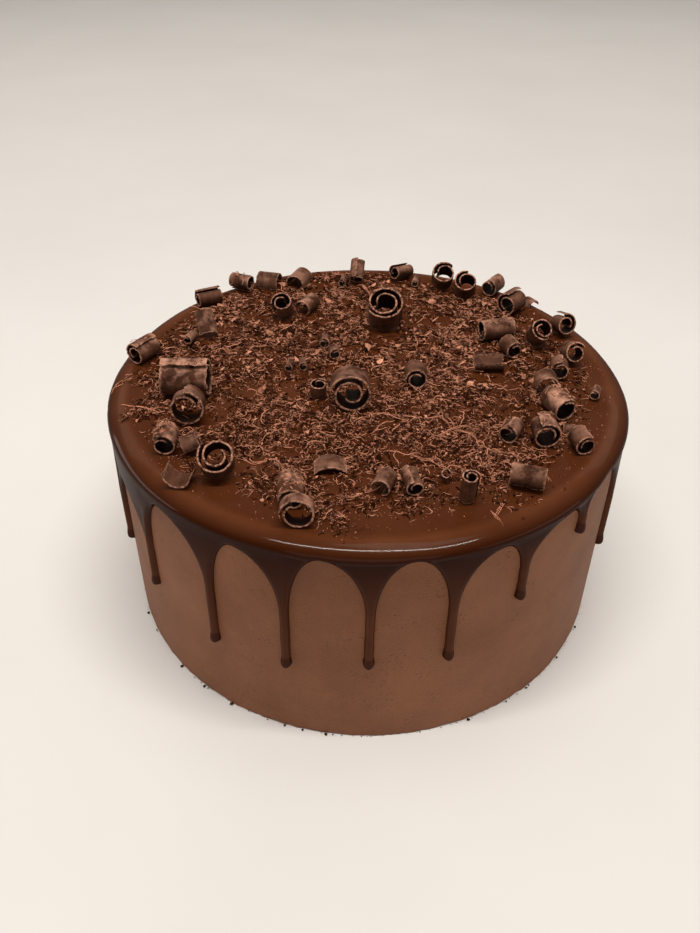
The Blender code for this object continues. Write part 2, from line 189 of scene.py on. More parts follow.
def ramp(tree, value, stops, interpolation="LINEAR"):
    """A colour for a value, from three rows of (value, colour)."""
    made = add_node(tree, "ShaderNodeValToRGB")
    made.color_ramp.interpolation = interpolation
    made.color_ramp.elements.new(0.5)
    for element, (at, colour) in zip(made.color_ramp.elements, stops):
        element.position, element.color = at, colour
    return feed(tree, made, Fac=value).outputs["Color"]


def mask(tree, name):
    """A number that was worked out with the form and is stored at each point of the mesh."""
    return add_node(tree, "ShaderNodeAttribute", attribute_name=name).outputs["Fac"]


def start_group(name, inputs, outputs):
    """An empty node group. inputs and outputs are rows of (name, kind, default)."""
    group = bpy.data.node_groups.new(name, "ShaderNodeTree")
    for rows, way in ((inputs, "INPUT"), (outputs, "OUTPUT")):
        for label, kind, default in rows:
            socket = group.interface.new_socket(label, in_out=way, socket_type="NodeSocket" + kind)
            if default is not None:
                socket.default_value = default
    return group, group.nodes.new("NodeGroupInput"), group.nodes.new("NodeGroupOutput")


def use_group(tree, group, **values):
    return feed(tree, add_node(tree, "ShaderNodeGroup", node_tree=group), **values)


def start_material(name, **constants):
    """A material with a Principled shader, whose constant numbers are set on its own sockets."""
    made = bpy.data.materials.new(name)
    made.use_nodes = True
    shader = made.node_tree.nodes["Principled BSDF"]
    feed(made.node_tree, shader, **constants)
    return made, made.node_tree, shader


def add_bump(tree, shader, height, strength, distance):
    """Turns a height between 0 and 1 into small dents and bumps. distance is their depth in metres."""
    bump = add_node(tree, "ShaderNodeBump")
    feed(tree, bump, Strength=strength, Distance=distance, Height=height)
    feed(tree, shader, Normal=bump.outputs["Normal"])

# %% [markdown]
# Mottling is what keeps chocolate from looking like plastic: cocoa butter and cocoa never mix evenly, so the
# colour drifts a little everywhere. One soft noise blends a dark and a light shade, and a second, finer one
# roughens it.

# %% Mottled colour
def make_mottling():
    group, given, result = start_group(
        "mottling",
        [("Dark", "Color", None), ("Light", "Color", None), ("Scale", "Float", 40.0), ("Fine", "Float", 0.3)],
        [("Colour", "Color", None)],
    )
    broad = spread(group, noise(group, given.outputs["Scale"], 4.0, 0.6), 0.32, 0.68)
    fine = calculate(group, "SUBTRACT", noise(group, 1400.0), 0.5)
    share = calculate(group, "MULTIPLY_ADD", fine, given.outputs["Fine"], broad)
    feed(group, result, Colour=blend(group, share, given.outputs["Dark"], given.outputs["Light"]))
    return group


mottling = make_mottling()
print("group:", mottling.name)

# %% [markdown]
# Whipped buttercream is full of tiny air bubbles. The scraper opens some of them, and they stay as pores
# about half a millimetre wide in a surface that is otherwise smooth. Voronoi cells give round pits of about
# equal size, and noise keeps only some of them.

# %% Pores
def make_pores():
    group, given, result = start_group(
        "pores",
        [("Scale", "Float", 600.0), ("Amount", "Float", 0.5)],
        [("Height", "Float", None), ("Pit", "Float", None)],
    )
    place = add_node(group, "ShaderNodeTexCoord").outputs["Object"]
    cells = feed(group, add_node(group, "ShaderNodeTexVoronoi"), Vector=place, Scale=given.outputs["Scale"])
    pit = spread(group, cells.outputs["Distance"], 0.16, 0.34, 1.0, 0.0)
    few = spread(group, noise(group, 90.0, 3.0), 0.5, 0.62)
    kept = calculate(group, "MULTIPLY", pit, few)
    grain = noise(group, 1500.0, 3.0, 0.6)
    height = calculate(group, "SUBTRACT", grain, calculate(group, "MULTIPLY", kept, given.outputs["Amount"]))
    feed(group, result, Height=height, Pit=kept)
    return group


pores = make_pores()
print("group:", pores.name)

# %% [markdown]
# ## The buttercream
# The side is matt and milky brown. Its colour is measured against white: it reflects about a fifth of the red
# light, and far less green and blue. Pores are painted a little darker, a painted shade for the light that
# gets lost in them.

# %% Buttercream material
BUTTERCREAM_DARK = (0.150, 0.0535, 0.0210, 1)
BUTTERCREAM_LIGHT = (0.214, 0.0820, 0.0340, 1)
PORE_SHADE = (0.09, 0.036, 0.020, 1)


def make_buttercream():
    material, tree, shader = start_material("cocoa_buttercream", Roughness=0.62, Specular_IOR_Level=0.25)
    colour = use_group(tree, mottling, Dark=BUTTERCREAM_DARK, Light=BUTTERCREAM_LIGHT, Scale=26.0, Fine=1.2)
    holes = use_group(tree, pores, Scale=620.0, Amount=0.6)
    # The pits blend towards PORE_SHADE: a painted shade in the pores.
    share = calculate(tree, "MULTIPLY", holes.outputs["Pit"], 0.55)
    feed(tree, shader, Base_Color=blend(tree, share, colour.outputs["Colour"], PORE_SHADE))
    add_bump(tree, shader, holes.outputs["Height"], 0.9, 0.0005)
    return material


buttercream = make_buttercream()
print("material:", buttercream.name)

# %% [markdown]
# The form is a turned profile: a foot that leans in slightly towards the top, as a hand-held scraper leaves
# it, and a small rounding at the upper edge. Long shallow waves and one faint line near the foot are the
# marks of the scraper. The lowest millimetre is ragged, where the buttercream broke away from the edge of the
# scraper.

# %% Buttercream form
CAKE_RADIUS = 104.2
FOOT_RADIUS = 106.0
CAKE_HEIGHT = 97.5
CAKE_EDGE_ROUNDING = 2.6
SCRAPER_LINE_HEIGHT = 10.0
SIDE_INSET = 0.12
SIDE_COLUMNS = 640


def side_radius(height):
    """A straight line from the foot's radius to the radius under the top edge, level above that."""
    share = np.clip(height / (CAKE_HEIGHT - CAKE_EDGE_ROUNDING), 0, 1)
    return FOOT_RADIUS + (CAKE_RADIUS - FOOT_RADIUS) * share


def side_relief(bearing, height):
    """Millimetres added to the radius: long waves, the scraper's line as a bell curve 0.5 mm wide, and a
    foot that is ragged inwards only. The inset keeps the highest wave inside the solid."""
    turn = bearing / 360
    waves = 0.10 * soft_noise(turn * 14, height / 30, 21, wrap=14)
    waves += 0.05 * soft_noise(turn * 90, height / 7, 22, wrap=90)
    line = -0.12 * np.exp(-(((height - SCRAPER_LINE_HEIGHT - 0.5 * np.sin(turn * 12)) / 0.5) ** 2))
    ragged = 0.5 * np.abs(soft_noise(turn * 240, height / 2, 23, wrap=240)) * np.exp(-height / 1.0)
    return waves + line - ragged - SIDE_INSET


def make_side():
    """Rows run from the middle of the base, up the side, over the rounded edge, to the middle of the top. They
    are closest at the ragged foot and round the scraper's line."""
    foot = [0.0, 0.4, 0.9, 1.6]
    wall = np.linspace(19.5, CAKE_HEIGHT - CAKE_EDGE_ROUNDING, 40)
    heights = np.concatenate([foot, np.linspace(2.5, 18, 24), wall])
    angles = np.radians(np.linspace(0, 90, 7)[1:])
    bearing = np.arange(SIDE_COLUMNS) * 360 / SIDE_COLUMNS
    b, z = np.meshgrid(bearing, heights)
    wall = on_side(b, side_radius(z) + side_relief(b, z), z)
    edge_radius = CAKE_RADIUS - SIDE_INSET - CAKE_EDGE_ROUNDING * (1 - np.cos(angles))
    edge_height = CAKE_HEIGHT - CAKE_EDGE_ROUNDING * (1 - np.sin(angles))
    edge = on_side(bearing, edge_radius[:, None], edge_height[:, None])
    points = np.concatenate([wall.reshape(-1, 3), edge.reshape(-1, 3), [[0, 0, 0]], [[0, 0, CAKE_HEIGHT]]])
    rows = len(heights) + len(angles)
    index = np.arange(rows * SIDE_COLUMNS).reshape(rows, SIDE_COLUMNS)
    base, top = rows * SIDE_COLUMNS, rows * SIDE_COLUMNS + 1
    index = np.concatenate([np.full((1, SIDE_COLUMNS), base), index, np.full((1, SIDE_COLUMNS), top)])
    obj = mesh_piece("buttercream_side", points, grid_squares(index, around=True), buttercream)
    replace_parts(obj, "cake_body")
    return obj


make_side()

# %% [markdown]
# ## The poured glaze
# Warm glaze was poured over the middle, spread over the edge, and ran down where it was thickest. Between two
# drips its lower edge is an arch, and two half arches meet in a funnel that narrows into a thin stem. Surface
# tension gives the stem a round back and a small bulb at its end.
#
# The drips are listed by bearing and height. Those round the back are made up by a rule from the same ranges.

# %% Drips and arches
GLAZE_RADIUS = 105.9
GLAZE_TOP = 99.4
GLAZE_LEVEL = GLAZE_TOP - 0.05  # the upper face without its shallow waves
GLAZE_EDGE_ROUNDING = 4.4
RIM_LOW = GLAZE_TOP - GLAZE_EDGE_ROUNDING
SHOULDER = 9.5
RIM_WAVES = ((0.25, 5, 0.6), (0.2, 9, 2.0))
RIPPLE = 0.35
SPRING_DROP = 29.0
SPRING_SHARE = 0.5
STEM_HALF_WIDTH = 1.75
BULB_HALF_WIDTH = 2.15
BULB_LENGTH = 6.0
RIM_THICKNESS = 1.6
FUNNEL_THICKNESS = 1.3
STEM_THICKNESS = 2.1
BULB_THICKNESS = 2.6

Drip = namedtuple("Drip", "bearing tip arch_bearing arch_height")
SHOWN_DRIPS = [
    Drip(-68.0, 40.7, -62.6, 80.0),
    Drip(-50.1, 42.4, -43.5, 90.0),
    Drip(-31.1, 36.5, -24.9, 90.6),
    Drip(-14.7, 37.7, -7.6, 93.6),
    Drip(1.7, 42.5, 9.6, 93.7),
    Drip(17.4, 42.7, 26.8, 91.7),
    Drip(32.2, 62.7, 42.9, 92.3),
    Drip(48.0, 78.0, 57.5, 94.4),
    Drip(67.8, 43.8, 76.0, 93.0),
]


def all_drips():
    """The drips that show, and like ones round the back, where each arch lies halfway between two drips."""
    chance = random.Random(11)
    first = SHOWN_DRIPS[-1].bearing
    span = 360 + SHOWN_DRIPS[0].bearing - first
    count = round(span / 15.7) - 1
    step = span / (count + 1)
    shifts = [chance.uniform(-1.6, 1.6) for _ in range(count)]
    bearings = [first + step * (k + 1) + shift for k, shift in enumerate(shifts)]
    ends = bearings[1:] + [360 + SHOWN_DRIPS[0].bearing]
    drips = list(SHOWN_DRIPS)
    for bearing, following in zip(bearings, ends):
        height = chance.uniform(90.0, 93.6)
        drips.append(Drip(bearing, height - chance.uniform(30.0, 58.0), (bearing + following) / 2, height))
    return np.array(drips)


drips = all_drips()
print("drips:", len(drips), "lowest tip at", round(drips[:, 1].min(), 1), "mm")

# %% [markdown]
# One grid covers each drip, from the middle of the top to the tip. Its columns crowd towards both edges,
# where the glaze curves most, and its rows follow the arch, then the stem, then the bulb. The thickness at a
# point depends on its distance from the nearest edge: it rises like a quarter circle and is level further in,
# as a thick liquid stands on a surface that it wets only partly. Neighbouring grids share the column above
# the arch between them.
#
# Two masks are worked out with the form, for the material to use: how thick the glaze looks at a row, and how
# glossy it is. The first also holds a painted shade, darkest on the rim face and the lips above the arches.
# The level top dulled as it set, and the shoulder and the drips stayed shiny.

# %% Glaze form
GLAZE_COLUMNS = 27
EDGE_BAND = 2.7
DRIP_SIDE = math.radians(1) * 104.5  # mm along the side for one degree of bearing
HIDDEN_DEPTH = 0.3  # how far the glaze's unseen back lies inside the buttercream
# These shares set how dark the glaze is painted: its depth and a painted shade together.
TOP_DEPTH, STEM_DEPTH, BULB_DEPTH = 0.5, 0.38, 0.8
THIN_BAND = 0.5  # radians round the shoulder over which the glaze thins and starts to shine


def arch_half_width(height, arch, drop, half_spacing):
    """A quarter ellipse: half the spacing at the arch's top, the stem's half width where the arch springs."""
    above = 1 - np.clip((arch - height) / drop, 0, 1)
    return STEM_HALF_WIDTH + (half_spacing - STEM_HALF_WIDTH) * (1 - np.sqrt(1 - above**2))


def arch_edge_height(along, arch, drop, half_spacing):
    """The same quarter ellipse the other way round: the height of the edge at a distance along the side."""
    share = np.clip((half_spacing - along) / (half_spacing - STEM_HALF_WIDTH), 0, 1)
    return arch - drop * (1 - np.sqrt(1 - share**2))


def lip_profile(distance, band):
    """Share of the full thickness at a distance from the edge: a quarter circle as wide as the band."""
    return np.sqrt(np.clip(1 - (1 - np.clip(distance / band, 0, 1)) ** 2, 0, 1))


def top_height(x, y):
    """Height of the glaze's upper face: level, then a quarter ellipse over the shoulder."""
    out = np.clip((np.hypot(x, y) - (GLAZE_RADIUS - SHOULDER)) / SHOULDER, 0, 0.99)
    return GLAZE_LEVEL - GLAZE_EDGE_ROUNDING * (1 - np.sqrt(1 - out**2))


def rim_bulge(bearing):
    """Two long sine waves round the cake, so that the rim isn't a perfect circle."""
    angle = np.radians(bearing)
    return sum(0.85 * height * np.sin(waves * angle + phase) for height, waves, phase in RIM_WAVES)


def glaze_rows():
    """For each row: the kind of row and its parameter. top: radius share; rim: angle from the top; apron:
    share of the way down to the arch; arch: angle along the ellipse; stem and bulb: share of their length."""
    rows = [("top", r) for r in np.linspace(0, 1, 34)[1:]]
    rows += [("rim", a) for a in np.radians(np.linspace(9, 90, 10))]
    rows += [("apron", 1 - (1 - k / 10) ** 2) for k in range(1, 11)]
    rows += [("arch", a) for a in np.radians(np.linspace(3, 90, 30))]
    rows += [("stem", s) for s in np.linspace(0, 1, 11)[1:]]
    rows += [("bulb", s) for s in np.sin(np.radians(np.linspace(0, 90, 12)[1:]))]
    return rows


def depth_shade_and_gloss(kind, at):
    """Two shares for a row: how thick the glaze looks there, and how glossy it is. The first is thinnest on
    the shoulder, where it ran off, and thick on the rim and at the drips' ends; on the rim face and the lips
    it also holds a painted shade. The glaze is glossy everywhere but on the level top."""
    if kind == "top":
        return TOP_DEPTH, 0.0
    if kind == "rim":
        over = min(at / THIN_BAND, 1.0)
        return max(TOP_DEPTH * (1 - over), math.sin(at) ** 1.5), smooth(over)
    if kind == "arch":
        return 1 - (1 - STEM_DEPTH) * (at / (math.pi / 2)) ** 2, 1.0
    return {"apron": 1.0, "stem": STEM_DEPTH, "bulb": BULB_DEPTH}[kind], 1.0


def bulb_half_width(rise):
    """A circle up to the bulb's own radius above the tip, then a smooth neck up to the stem's width."""
    circle = BULB_HALF_WIDTH * np.sqrt(np.clip(1 - ((BULB_HALF_WIDTH - rise) / BULB_HALF_WIDTH) ** 2, 0, 1))
    up = smooth(np.clip((rise - BULB_HALF_WIDTH) / (BULB_LENGTH - BULB_HALF_WIDTH), 0, 1))
    neck = BULB_HALF_WIDTH + (STEM_HALF_WIDTH - BULB_HALF_WIDTH) * up
    return np.where(rise < BULB_HALF_WIDTH, circle, neck)


def bulb_thickness(at, rise):
    """Grows from the stem's to the bulb's over the upper half, and shrinks with the root of the width
    below."""
    fatter = STEM_THICKNESS + (BULB_THICKNESS - STEM_THICKNESS) * np.clip(2 * at, 0, 1)
    narrowing = np.sqrt(np.clip(bulb_half_width(rise) / BULB_HALF_WIDTH, 0, 1))
    return fatter * np.where(rise < BULB_HALF_WIDTH, narrowing, 1.0)


def full_thickness(z, top, lower):
    """The funnel's at the arch's top, growing to the rim's above it and, with lower, to the stem's below
    it."""
    higher = np.clip((z - top) / np.maximum(RIM_LOW - top, 0.5), 0, 1)
    down = FUNNEL_THICKNESS + lower * (STEM_THICKNESS - FUNNEL_THICKNESS)
    return down + (RIM_THICKNESS - FUNNEL_THICKNESS) * higher


def edge_distance(along, z, top, drop, span):
    """Distance to the lower edge: the height of the right-angled triangle whose short sides are the ways
    to the edge sideways and downwards. Above a stem there is no edge below."""
    sideways = np.maximum(arch_half_width(z, top, drop, span) - along, 0) + 2 * np.maximum(z - top, 0)
    upwards = np.maximum(z - arch_edge_height(along, top, drop, span), 0)
    upwards = np.where(along <= STEM_HALF_WIDTH, 1e3, upwards)
    return sideways * upwards / np.sqrt(sideways**2 + upwards**2 + 1e-9)


def top_points(kind, at, place, bulge, share):
    """A row on the top or over the shoulder, at a share of the way from a hidden profile inside the
    buttercream to the glaze's own, a quarter ellipse with shallow waves. angle is 90 degrees where that
    ellipse is level."""
    angle = math.pi / 2 if kind == "top" else math.pi / 2 - at
    near = GLAZE_RADIUS - SHOULDER
    far = near * at if kind == "top" else near + SHOULDER * math.cos(angle)
    east, north = far * np.sin(np.radians(place)), far * np.cos(np.radians(place))
    over = max(0.0, (far - near) / SHOULDER)
    waves = 0.05 * soft_noise(east / 9 + 40, north / 9 + 40, 31)
    waves = waves + 4 * over * (1 - over) * RIPPLE * soft_noise(place / 15 + 24, 7 + 0 * place, 32, wrap=24)
    height = GLAZE_LEVEL + waves - GLAZE_EDGE_ROUNDING * (1 - math.sin(angle))
    skin = on_side(place, far + bulge * math.cos(angle), height)
    level = CAKE_RADIUS - CAKE_EDGE_ROUNDING
    below = far * level / near if kind == "top" else level + CAKE_EDGE_ROUNDING * math.cos(angle)
    depth = HIDDEN_DEPTH + CAKE_EDGE_ROUNDING * (1 - math.sin(angle))
    back = on_side(place, below - HIDDEN_DEPTH, CAKE_HEIGHT - depth + 0 * place)
    return back + (skin - back) * share[..., None]


def glaze_points(v, outer):
    """Points of the glaze's outer or hidden inner skin for columns v, from -1 at a drip's left edge to 1,
    and the two masks of each. Each row of the grid has a height and a half width, and the thickness
    follows from both."""
    bearing, tip, right_arch, right_top = [drips[:, k, None] for k in range(4)]
    left_arch, left_top = np.roll(right_arch, 1), np.roll(right_top, 1)
    left_arch[0] -= 360
    right_side = v >= 0
    top = np.where(right_side, right_top, left_top)
    span = np.where(right_side, right_arch - bearing, bearing - left_arch) * DRIP_SIDE
    middle_top = (left_top + right_top) / 2
    drop = np.minimum(SPRING_DROP, SPRING_SHARE * (top - tip))
    middle_drop = np.minimum(SPRING_DROP, SPRING_SHARE * (middle_top - tip))
    inwards = (1 - np.abs(v)) ** 2
    stem_end = tip + BULB_LENGTH
    wander = 0.25 * np.sin(bearing * 2.3 + 1.0)
    found, masks = [], []
    for kind, at in glaze_rows():
        width = span
        masks.append(np.full((*span.shape, 2), depth_shade_and_gloss(kind, at)))
        if kind in ("top", "rim"):
            z = np.full_like(span, RIM_LOW + GLAZE_EDGE_ROUNDING * (1.0 if kind == "top" else np.cos(at)))
        elif kind == "apron":
            low = top + (middle_top - top) * inwards
            z = RIM_LOW + (low - RIM_LOW) * at
        elif kind == "arch":
            edge = top - drop * (1 - np.cos(at))
            middle = middle_top - middle_drop * (1 - np.cos(at))
            z = edge + (middle - edge) * inwards
            width = STEM_HALF_WIDTH + (span - STEM_HALF_WIDTH) * (1 - np.sin(at))
        elif kind == "stem":
            spring = top - drop + (middle_top - middle_drop - top + drop) * inwards
            z = spring + (stem_end - spring) * at
            swell = 0.05 * np.sin(at * 7 + bearing) * at * (1 - at) * 4
            width = np.full_like(span, STEM_HALF_WIDTH) * (1 + swell)
        else:
            rise = BULB_LENGTH * (1 - at)
            z = tip + rise + 0 * span
            width = np.full_like(span, bulb_half_width(rise))
        along = np.abs(v) * width
        lower = np.clip((top - z) / drop, 0, 1)
        shift = wander * np.clip((top - z) / 40, 0, 1) ** 2
        place = bearing + (np.where(right_side, along, -along) + shift) / DRIP_SIDE
        if kind in ("stem", "bulb"):
            distance, band = width * (1 - np.abs(v)), 0.95 * width + 1e-6
        else:
            distance = edge_distance(along, z, top, drop, span)
            band = np.minimum(EDGE_BAND, 0.95 * arch_half_width(z, top, drop, span))
        share = lip_profile(distance, band) if outer else np.zeros_like(z)
        bulge = rim_bulge(place) * (1 - lower)
        if kind in ("top", "rim"):
            found.append(top_points(kind, at, place, bulge, share))
            continue
        full = bulb_thickness(at, rise) if kind == "bulb" else full_thickness(z, top, lower)
        under = side_radius(z) - HIDDEN_DEPTH
        stands = (full + HIDDEN_DEPTH + bulge) * share if outer else -HIDDEN_DEPTH
        found.append(on_side(place, under + stands, z))
    return np.stack(found, axis=1), np.stack(masks, axis=1)


def make_glaze():
    """All drips as one closed surface. The arrays index and hidden number the points of the outer and the
    inner skin by drip, row and column. Where two drips meet, or the skins do, one number takes the place
    of another: at a drip's edges, at its tip, which is one point, and in the column that two neighbours
    share."""
    turn = np.linspace(0, math.pi, GLAZE_COLUMNS)
    skin, masks = glaze_points(-np.cos(turn), True)
    back, hidden_masks = glaze_points(np.linspace(-1, 1, 5), False)
    rows = glaze_rows()
    arch_row = max(k for k, (kind, _) in enumerate(rows) if kind == "apron")
    count, depth = skin.shape[:2]
    columns, back_columns = skin.shape[2], back.shape[2]
    index = np.arange(skin[..., 0].size).reshape(count, depth, columns)
    hidden = index.size + np.arange(back[..., 0].size).reshape(count, depth, back_columns)
    following = np.roll(np.arange(count), -1)
    index[:, : arch_row + 1, -1] = index[following, : arch_row + 1, 0]
    hidden[:, :arch_row, -1] = hidden[following, :arch_row, 0]
    hidden[:, arch_row:, 0], hidden[:, arch_row:, -1] = index[:, arch_row:, 0], index[:, arch_row:, -1]
    index[:, -1] = index[:, -1, columns // 2][:, None]
    hidden[:, -1] = index[:, -1, :back_columns]
    poles = [[0, 0, GLAZE_LEVEL], [0, 0, CAKE_HEIGHT - HIDDEN_DEPTH]]
    points = np.concatenate([skin.reshape(-1, 3), back.reshape(-1, 3), poles])
    masks = np.concatenate([masks.reshape(-1, 2), hidden_masks.reshape(-1, 2), [[0, 0], [0, 0]]])
    pole = np.full((count, 1, columns), len(points) - 2)
    hidden_pole = np.full((count, 1, back_columns), len(points) - 1)
    outside = grid_squares(np.concatenate([pole, index], axis=1)[..., ::-1])
    inside = grid_squares(np.concatenate([hidden_pole, hidden], axis=1))
    return points, np.concatenate([outside, inside]), masks


print("rows from the middle of the top to a tip:", len(glaze_rows()))

# %% [markdown]
# Unused points have to go, since a shared column leaves its twin without a face. Numbering the points that
# faces use, and keeping only those, takes two numpy calls.

# %% Keep only the points in use
def without_strays(points, squares, masks):
    used, renumbered = np.unique(squares, return_inverse=True)
    return points[used], renumbered.reshape(squares.shape), masks[used]


# %% [markdown]
# Dark glaze is nearly black where it is thick and a warm brown where it is thin, so the first mask blends the
# two colours; on the rim face and the lips above the arches the darker colour is also a painted shade. Shiny
# glaze mirrors a lamp as a sharp line: a second clear layer, the coat, gives that mirror, and its weight
# follows the second mask. Tiny bumps keep the mirror from being perfect.

# %% Glaze material
GLAZE_DARK = (0.070, 0.0200, 0.0064, 1)
GLAZE_LIGHT = (0.106, 0.0335, 0.0125, 1)
GLAZE_THICK_AND_SHADED = (0.021, 0.0036, 0.0004, 1)
COAT_DULL, COAT_GLOSSY = 0.05, 0.22


def make_glaze_material():
    material, tree, shader = start_material(
        "poured_glaze", Roughness=0.5, Specular_IOR_Level=0.0, Coat_Roughness=0.1, Coat_IOR=1.4
    )
    thin = use_group(tree, mottling, Dark=GLAZE_DARK, Light=GLAZE_LIGHT, Scale=30.0, Fine=0.2)
    # The darker colour follows the thick mask: the glaze's depth, and a painted shade on the rim face and
    # lips.
    colour = blend(tree, mask(tree, "thick"), thin.outputs["Colour"], GLAZE_THICK_AND_SHADED)
    mirror = spread(tree, mask(tree, "gloss"), 0.0, 1.0, COAT_DULL, COAT_GLOSSY)
    feed(tree, shader, Base_Color=colour, Coat_Weight=mirror)
    add_bump(tree, shader, noise(tree, 160.0), 0.15, 0.0006)
    return material


glaze_finish = make_glaze_material()
glaze_mesh_points, glaze_mesh_squares, glaze_masks = without_strays(*make_glaze())
# thick carries both the glaze's depth and the painted shade on the rim face and lips.
glaze_attributes = {"thick": glaze_masks[:, 0], "gloss": glaze_masks[:, 1]}
glaze = mesh_piece("poured_glaze", glaze_mesh_points, glaze_mesh_squares, glaze_finish, glaze_attributes)
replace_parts(glaze, "ganache_glaze")


# %% [markdown]
# ## Chocolate curls
# A curl is made by pushing a warm blade along a block of chocolate: the shaving rolls up behind it. So each
# one is a strip wound into a spiral. The table says where each curl lies, which way its mouth faces, and how
# it is wound. x and y are its middle, heading is the way its mouth faces (0 is +X, 270 the front), rise is
# how far the mouth tips up, and start is where the strip's outer edge lies for someone who faces the mouth (0
# right, 90 up). way is 1 where it winds inwards anticlockwise. inner is the inner radius over the outer one.

